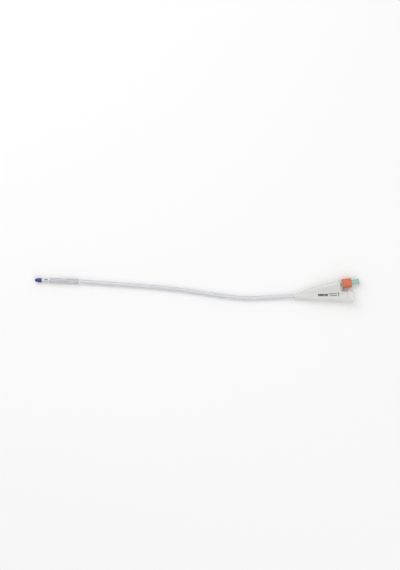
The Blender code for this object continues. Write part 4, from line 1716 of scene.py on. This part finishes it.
    def stem(self) -> Thing:
        """Turn the plunger: rod, disc and tail."""
        front, back = self.disc_front, self.disc_front - self.disc_thickness
        return self.turn("valve_plunger", [
            Corner(back - self.tail_length, 0),
            Corner(back - self.tail_length, self.tail_radius, 0.25 * MM),
            Corner(back, self.tail_radius, 0.2 * MM),
            Corner(back, self.disc_radius, 0.15 * MM),
            Corner(front, self.disc_radius, 0.15 * MM),
            Corner(front, self.rod_radius, 0.1 * MM),
            Corner(self.rod_reach, self.rod_radius, 0.3 * MM),
            Corner(self.rod_reach, 0),
        ], 56, closed=False)

    def spring_ends(self) -> tuple[float, float]:
        """Find the middle of the spring's wire at its back and its front end."""
        front = self.disc_front - self.disc_thickness - self.gap - self.wire_radius
        back = -self.barrel_back + self.outlet_wall + self.gap + self.wire_radius
        return back, front

    def spring(self) -> Thing:
        """Wind the spring and lay it along the valve's axis."""
        back, front = self.spring_ends()
        values = {
            "Turns": self.turns, "Coil Radius": self.coil_radius, "Height": front - back,
            "Wire Radius": self.wire_radius,
        }
        made = run_tree(empty_host(), self.shop.trees.coil, "valve_coil", values)
        lay = Matrix.Translation((back, 0, 0)) @ Matrix.Rotation(math.pi / 2, 4, "Y")
        made.data.transform(self.shop.layout.valve.place(0) @ lay)
        return welded(made)

    def build(self, nodes: dict[str, Thing]) -> None:
        """Make and dress each part of the valve.

        Args:
            nodes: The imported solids, of which the seal stays as it is.
        """
        hand_over = self.shop.hand_over
        hand_over(shade(self.collar(), 38), self.collar_finish, "valve_sleeve")
        hand_over(self.inlet(), self.inlet_finish, "valve_inlet")
        hand_over(shade(self.barrel(), 38), self.barrel_finish, "valve_barrel")
        hand_over(shade(self.stem(), 38), self.stem_finish, "valve_stem", PLUNGER_BODY)
        coil = hand_over(shade(self.spring(), 38), self.spring_finish, "valve_spring")
        self.shorten(coil)
        dressed(nodes["valve_seal"], self.seal_finish.dress(self.shop.groups))

    def shorten(self, coil: Thing) -> None:
        """Give the spring a mesh of its own; the frame at the valve's face is read but not used.
        """
        frame = self.shop.layout.valve.place(0)
        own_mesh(coil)


@dataclass
class Studio:
    """The pale floor, the soft lights and the camera that looks straight down."""

    layout: Layout
    pixel: float = 400.0 / 325.0 * MM
    frame_height: int = 570
    tip_pixel: tuple[float, float] = (35.0, 296.6)
    middle_pixel: tuple[float, float] = (200.0, 285.0)
    lens: float = 110.0
    sensor: float = 36.0
    farthest: float = 20.0
    floor_size: float = 6.0
    floor_colour: Colour = (0.93, 0.93, 0.93)
    floor_roughness: float = 0.6
    floor_shine: float = 0.2
    world_colour: Colour = (0.90, 0.90, 0.90)
    world_strength: float = 0.82
    lamp_size: float = 1.3

    def camera(self) -> None:
        """Hang the camera over the object, framed as the photograph is."""
        (tip_x, axis_y), (middle_x, middle_y) = self.tip_pixel, self.middle_pixel
        x = self.layout.origin.x + (middle_x - tip_x) * self.pixel
        y = self.layout.origin.y + (axis_y - middle_y) * self.pixel
        data = bpy.data.cameras.new("camera")
        data.lens, data.sensor_width, data.clip_end = self.lens, self.sensor, self.farthest
        camera = link("camera", data)
        camera.location = (x, y, self.frame_height * self.pixel * self.lens / self.sensor)
        bpy.context.scene.camera = camera

    def floor(self) -> None:
        """Lay the floor under the catheter."""
        bm = bmesh.new()
        bmesh.ops.create_grid(bm, x_segments=1, y_segments=1, size=self.floor_size / 2)
        material, tree, surface = principled("floor_paper")
        tree.fill(surface, {
            "Base Color": (*self.floor_colour, 1), "Roughness": self.floor_roughness,
            "Specular IOR Level": self.floor_shine,
        })
        dressed(mesh_object("floor", bm), material)

    def lamp(self, name: str, place: Sequence[float], power: float) -> None:
        """Hang one square soft lamp that points at the middle of the object.

        Args:
            name: The lamp's name.
            place: Where it hangs.
            power: Its power in watts.
        """
        data = bpy.data.lights.new(name, "AREA")
        data.size, data.energy = self.lamp_size, power
        lamp = link(name, data)
        lamp.location = place
        lamp.rotation_euler = (-Vector(place)).to_track_quat("-Z", "Y").to_euler()

    def world(self) -> None:
        """Fill the surroundings with even pale light."""
        world = bpy.data.worlds.new("studio")
        world.use_nodes = True
        values = {"Color": (*self.world_colour, 1), "Strength": self.world_strength}
        Tree(world.node_tree).fill(world.node_tree.nodes["Background"], values)
        bpy.context.scene.world = world

    def build(self) -> None:
        """Set up floor, lights, world and camera."""
        self.floor()
        self.lamp("window", (-0.55, 0.9, 1.3), 9.0)
        self.lamp("fill", (0.7, -0.8, 1.2), 3.5)
        self.world()
        self.camera()
        bpy.context.scene.view_settings.view_transform = "Standard"


def write_sizes() -> None:
    """Update the view layer.
    """
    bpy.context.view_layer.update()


def main() -> None:
    """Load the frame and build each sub-assembly."""
    logging.basicConfig(level=logging.INFO, format="%(name)s %(message)s")
    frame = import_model()
    layout = Layout()
    Studio(layout).build()
    shop = Workshop(layout, GeometryTrees(), ShaderGroups())
    shaft = Shaft(shop)
    tube = shaft.build()
    shaft.declare([Tip(shop).build(), Balloon(shop).build()])
    funnel = Funnel(shop).build()
    PrintMarks(shop, funnel).build()
    Valve(shop).build(frame["nodes"])
    write_sizes()


if __name__ == "__main__":
    main()
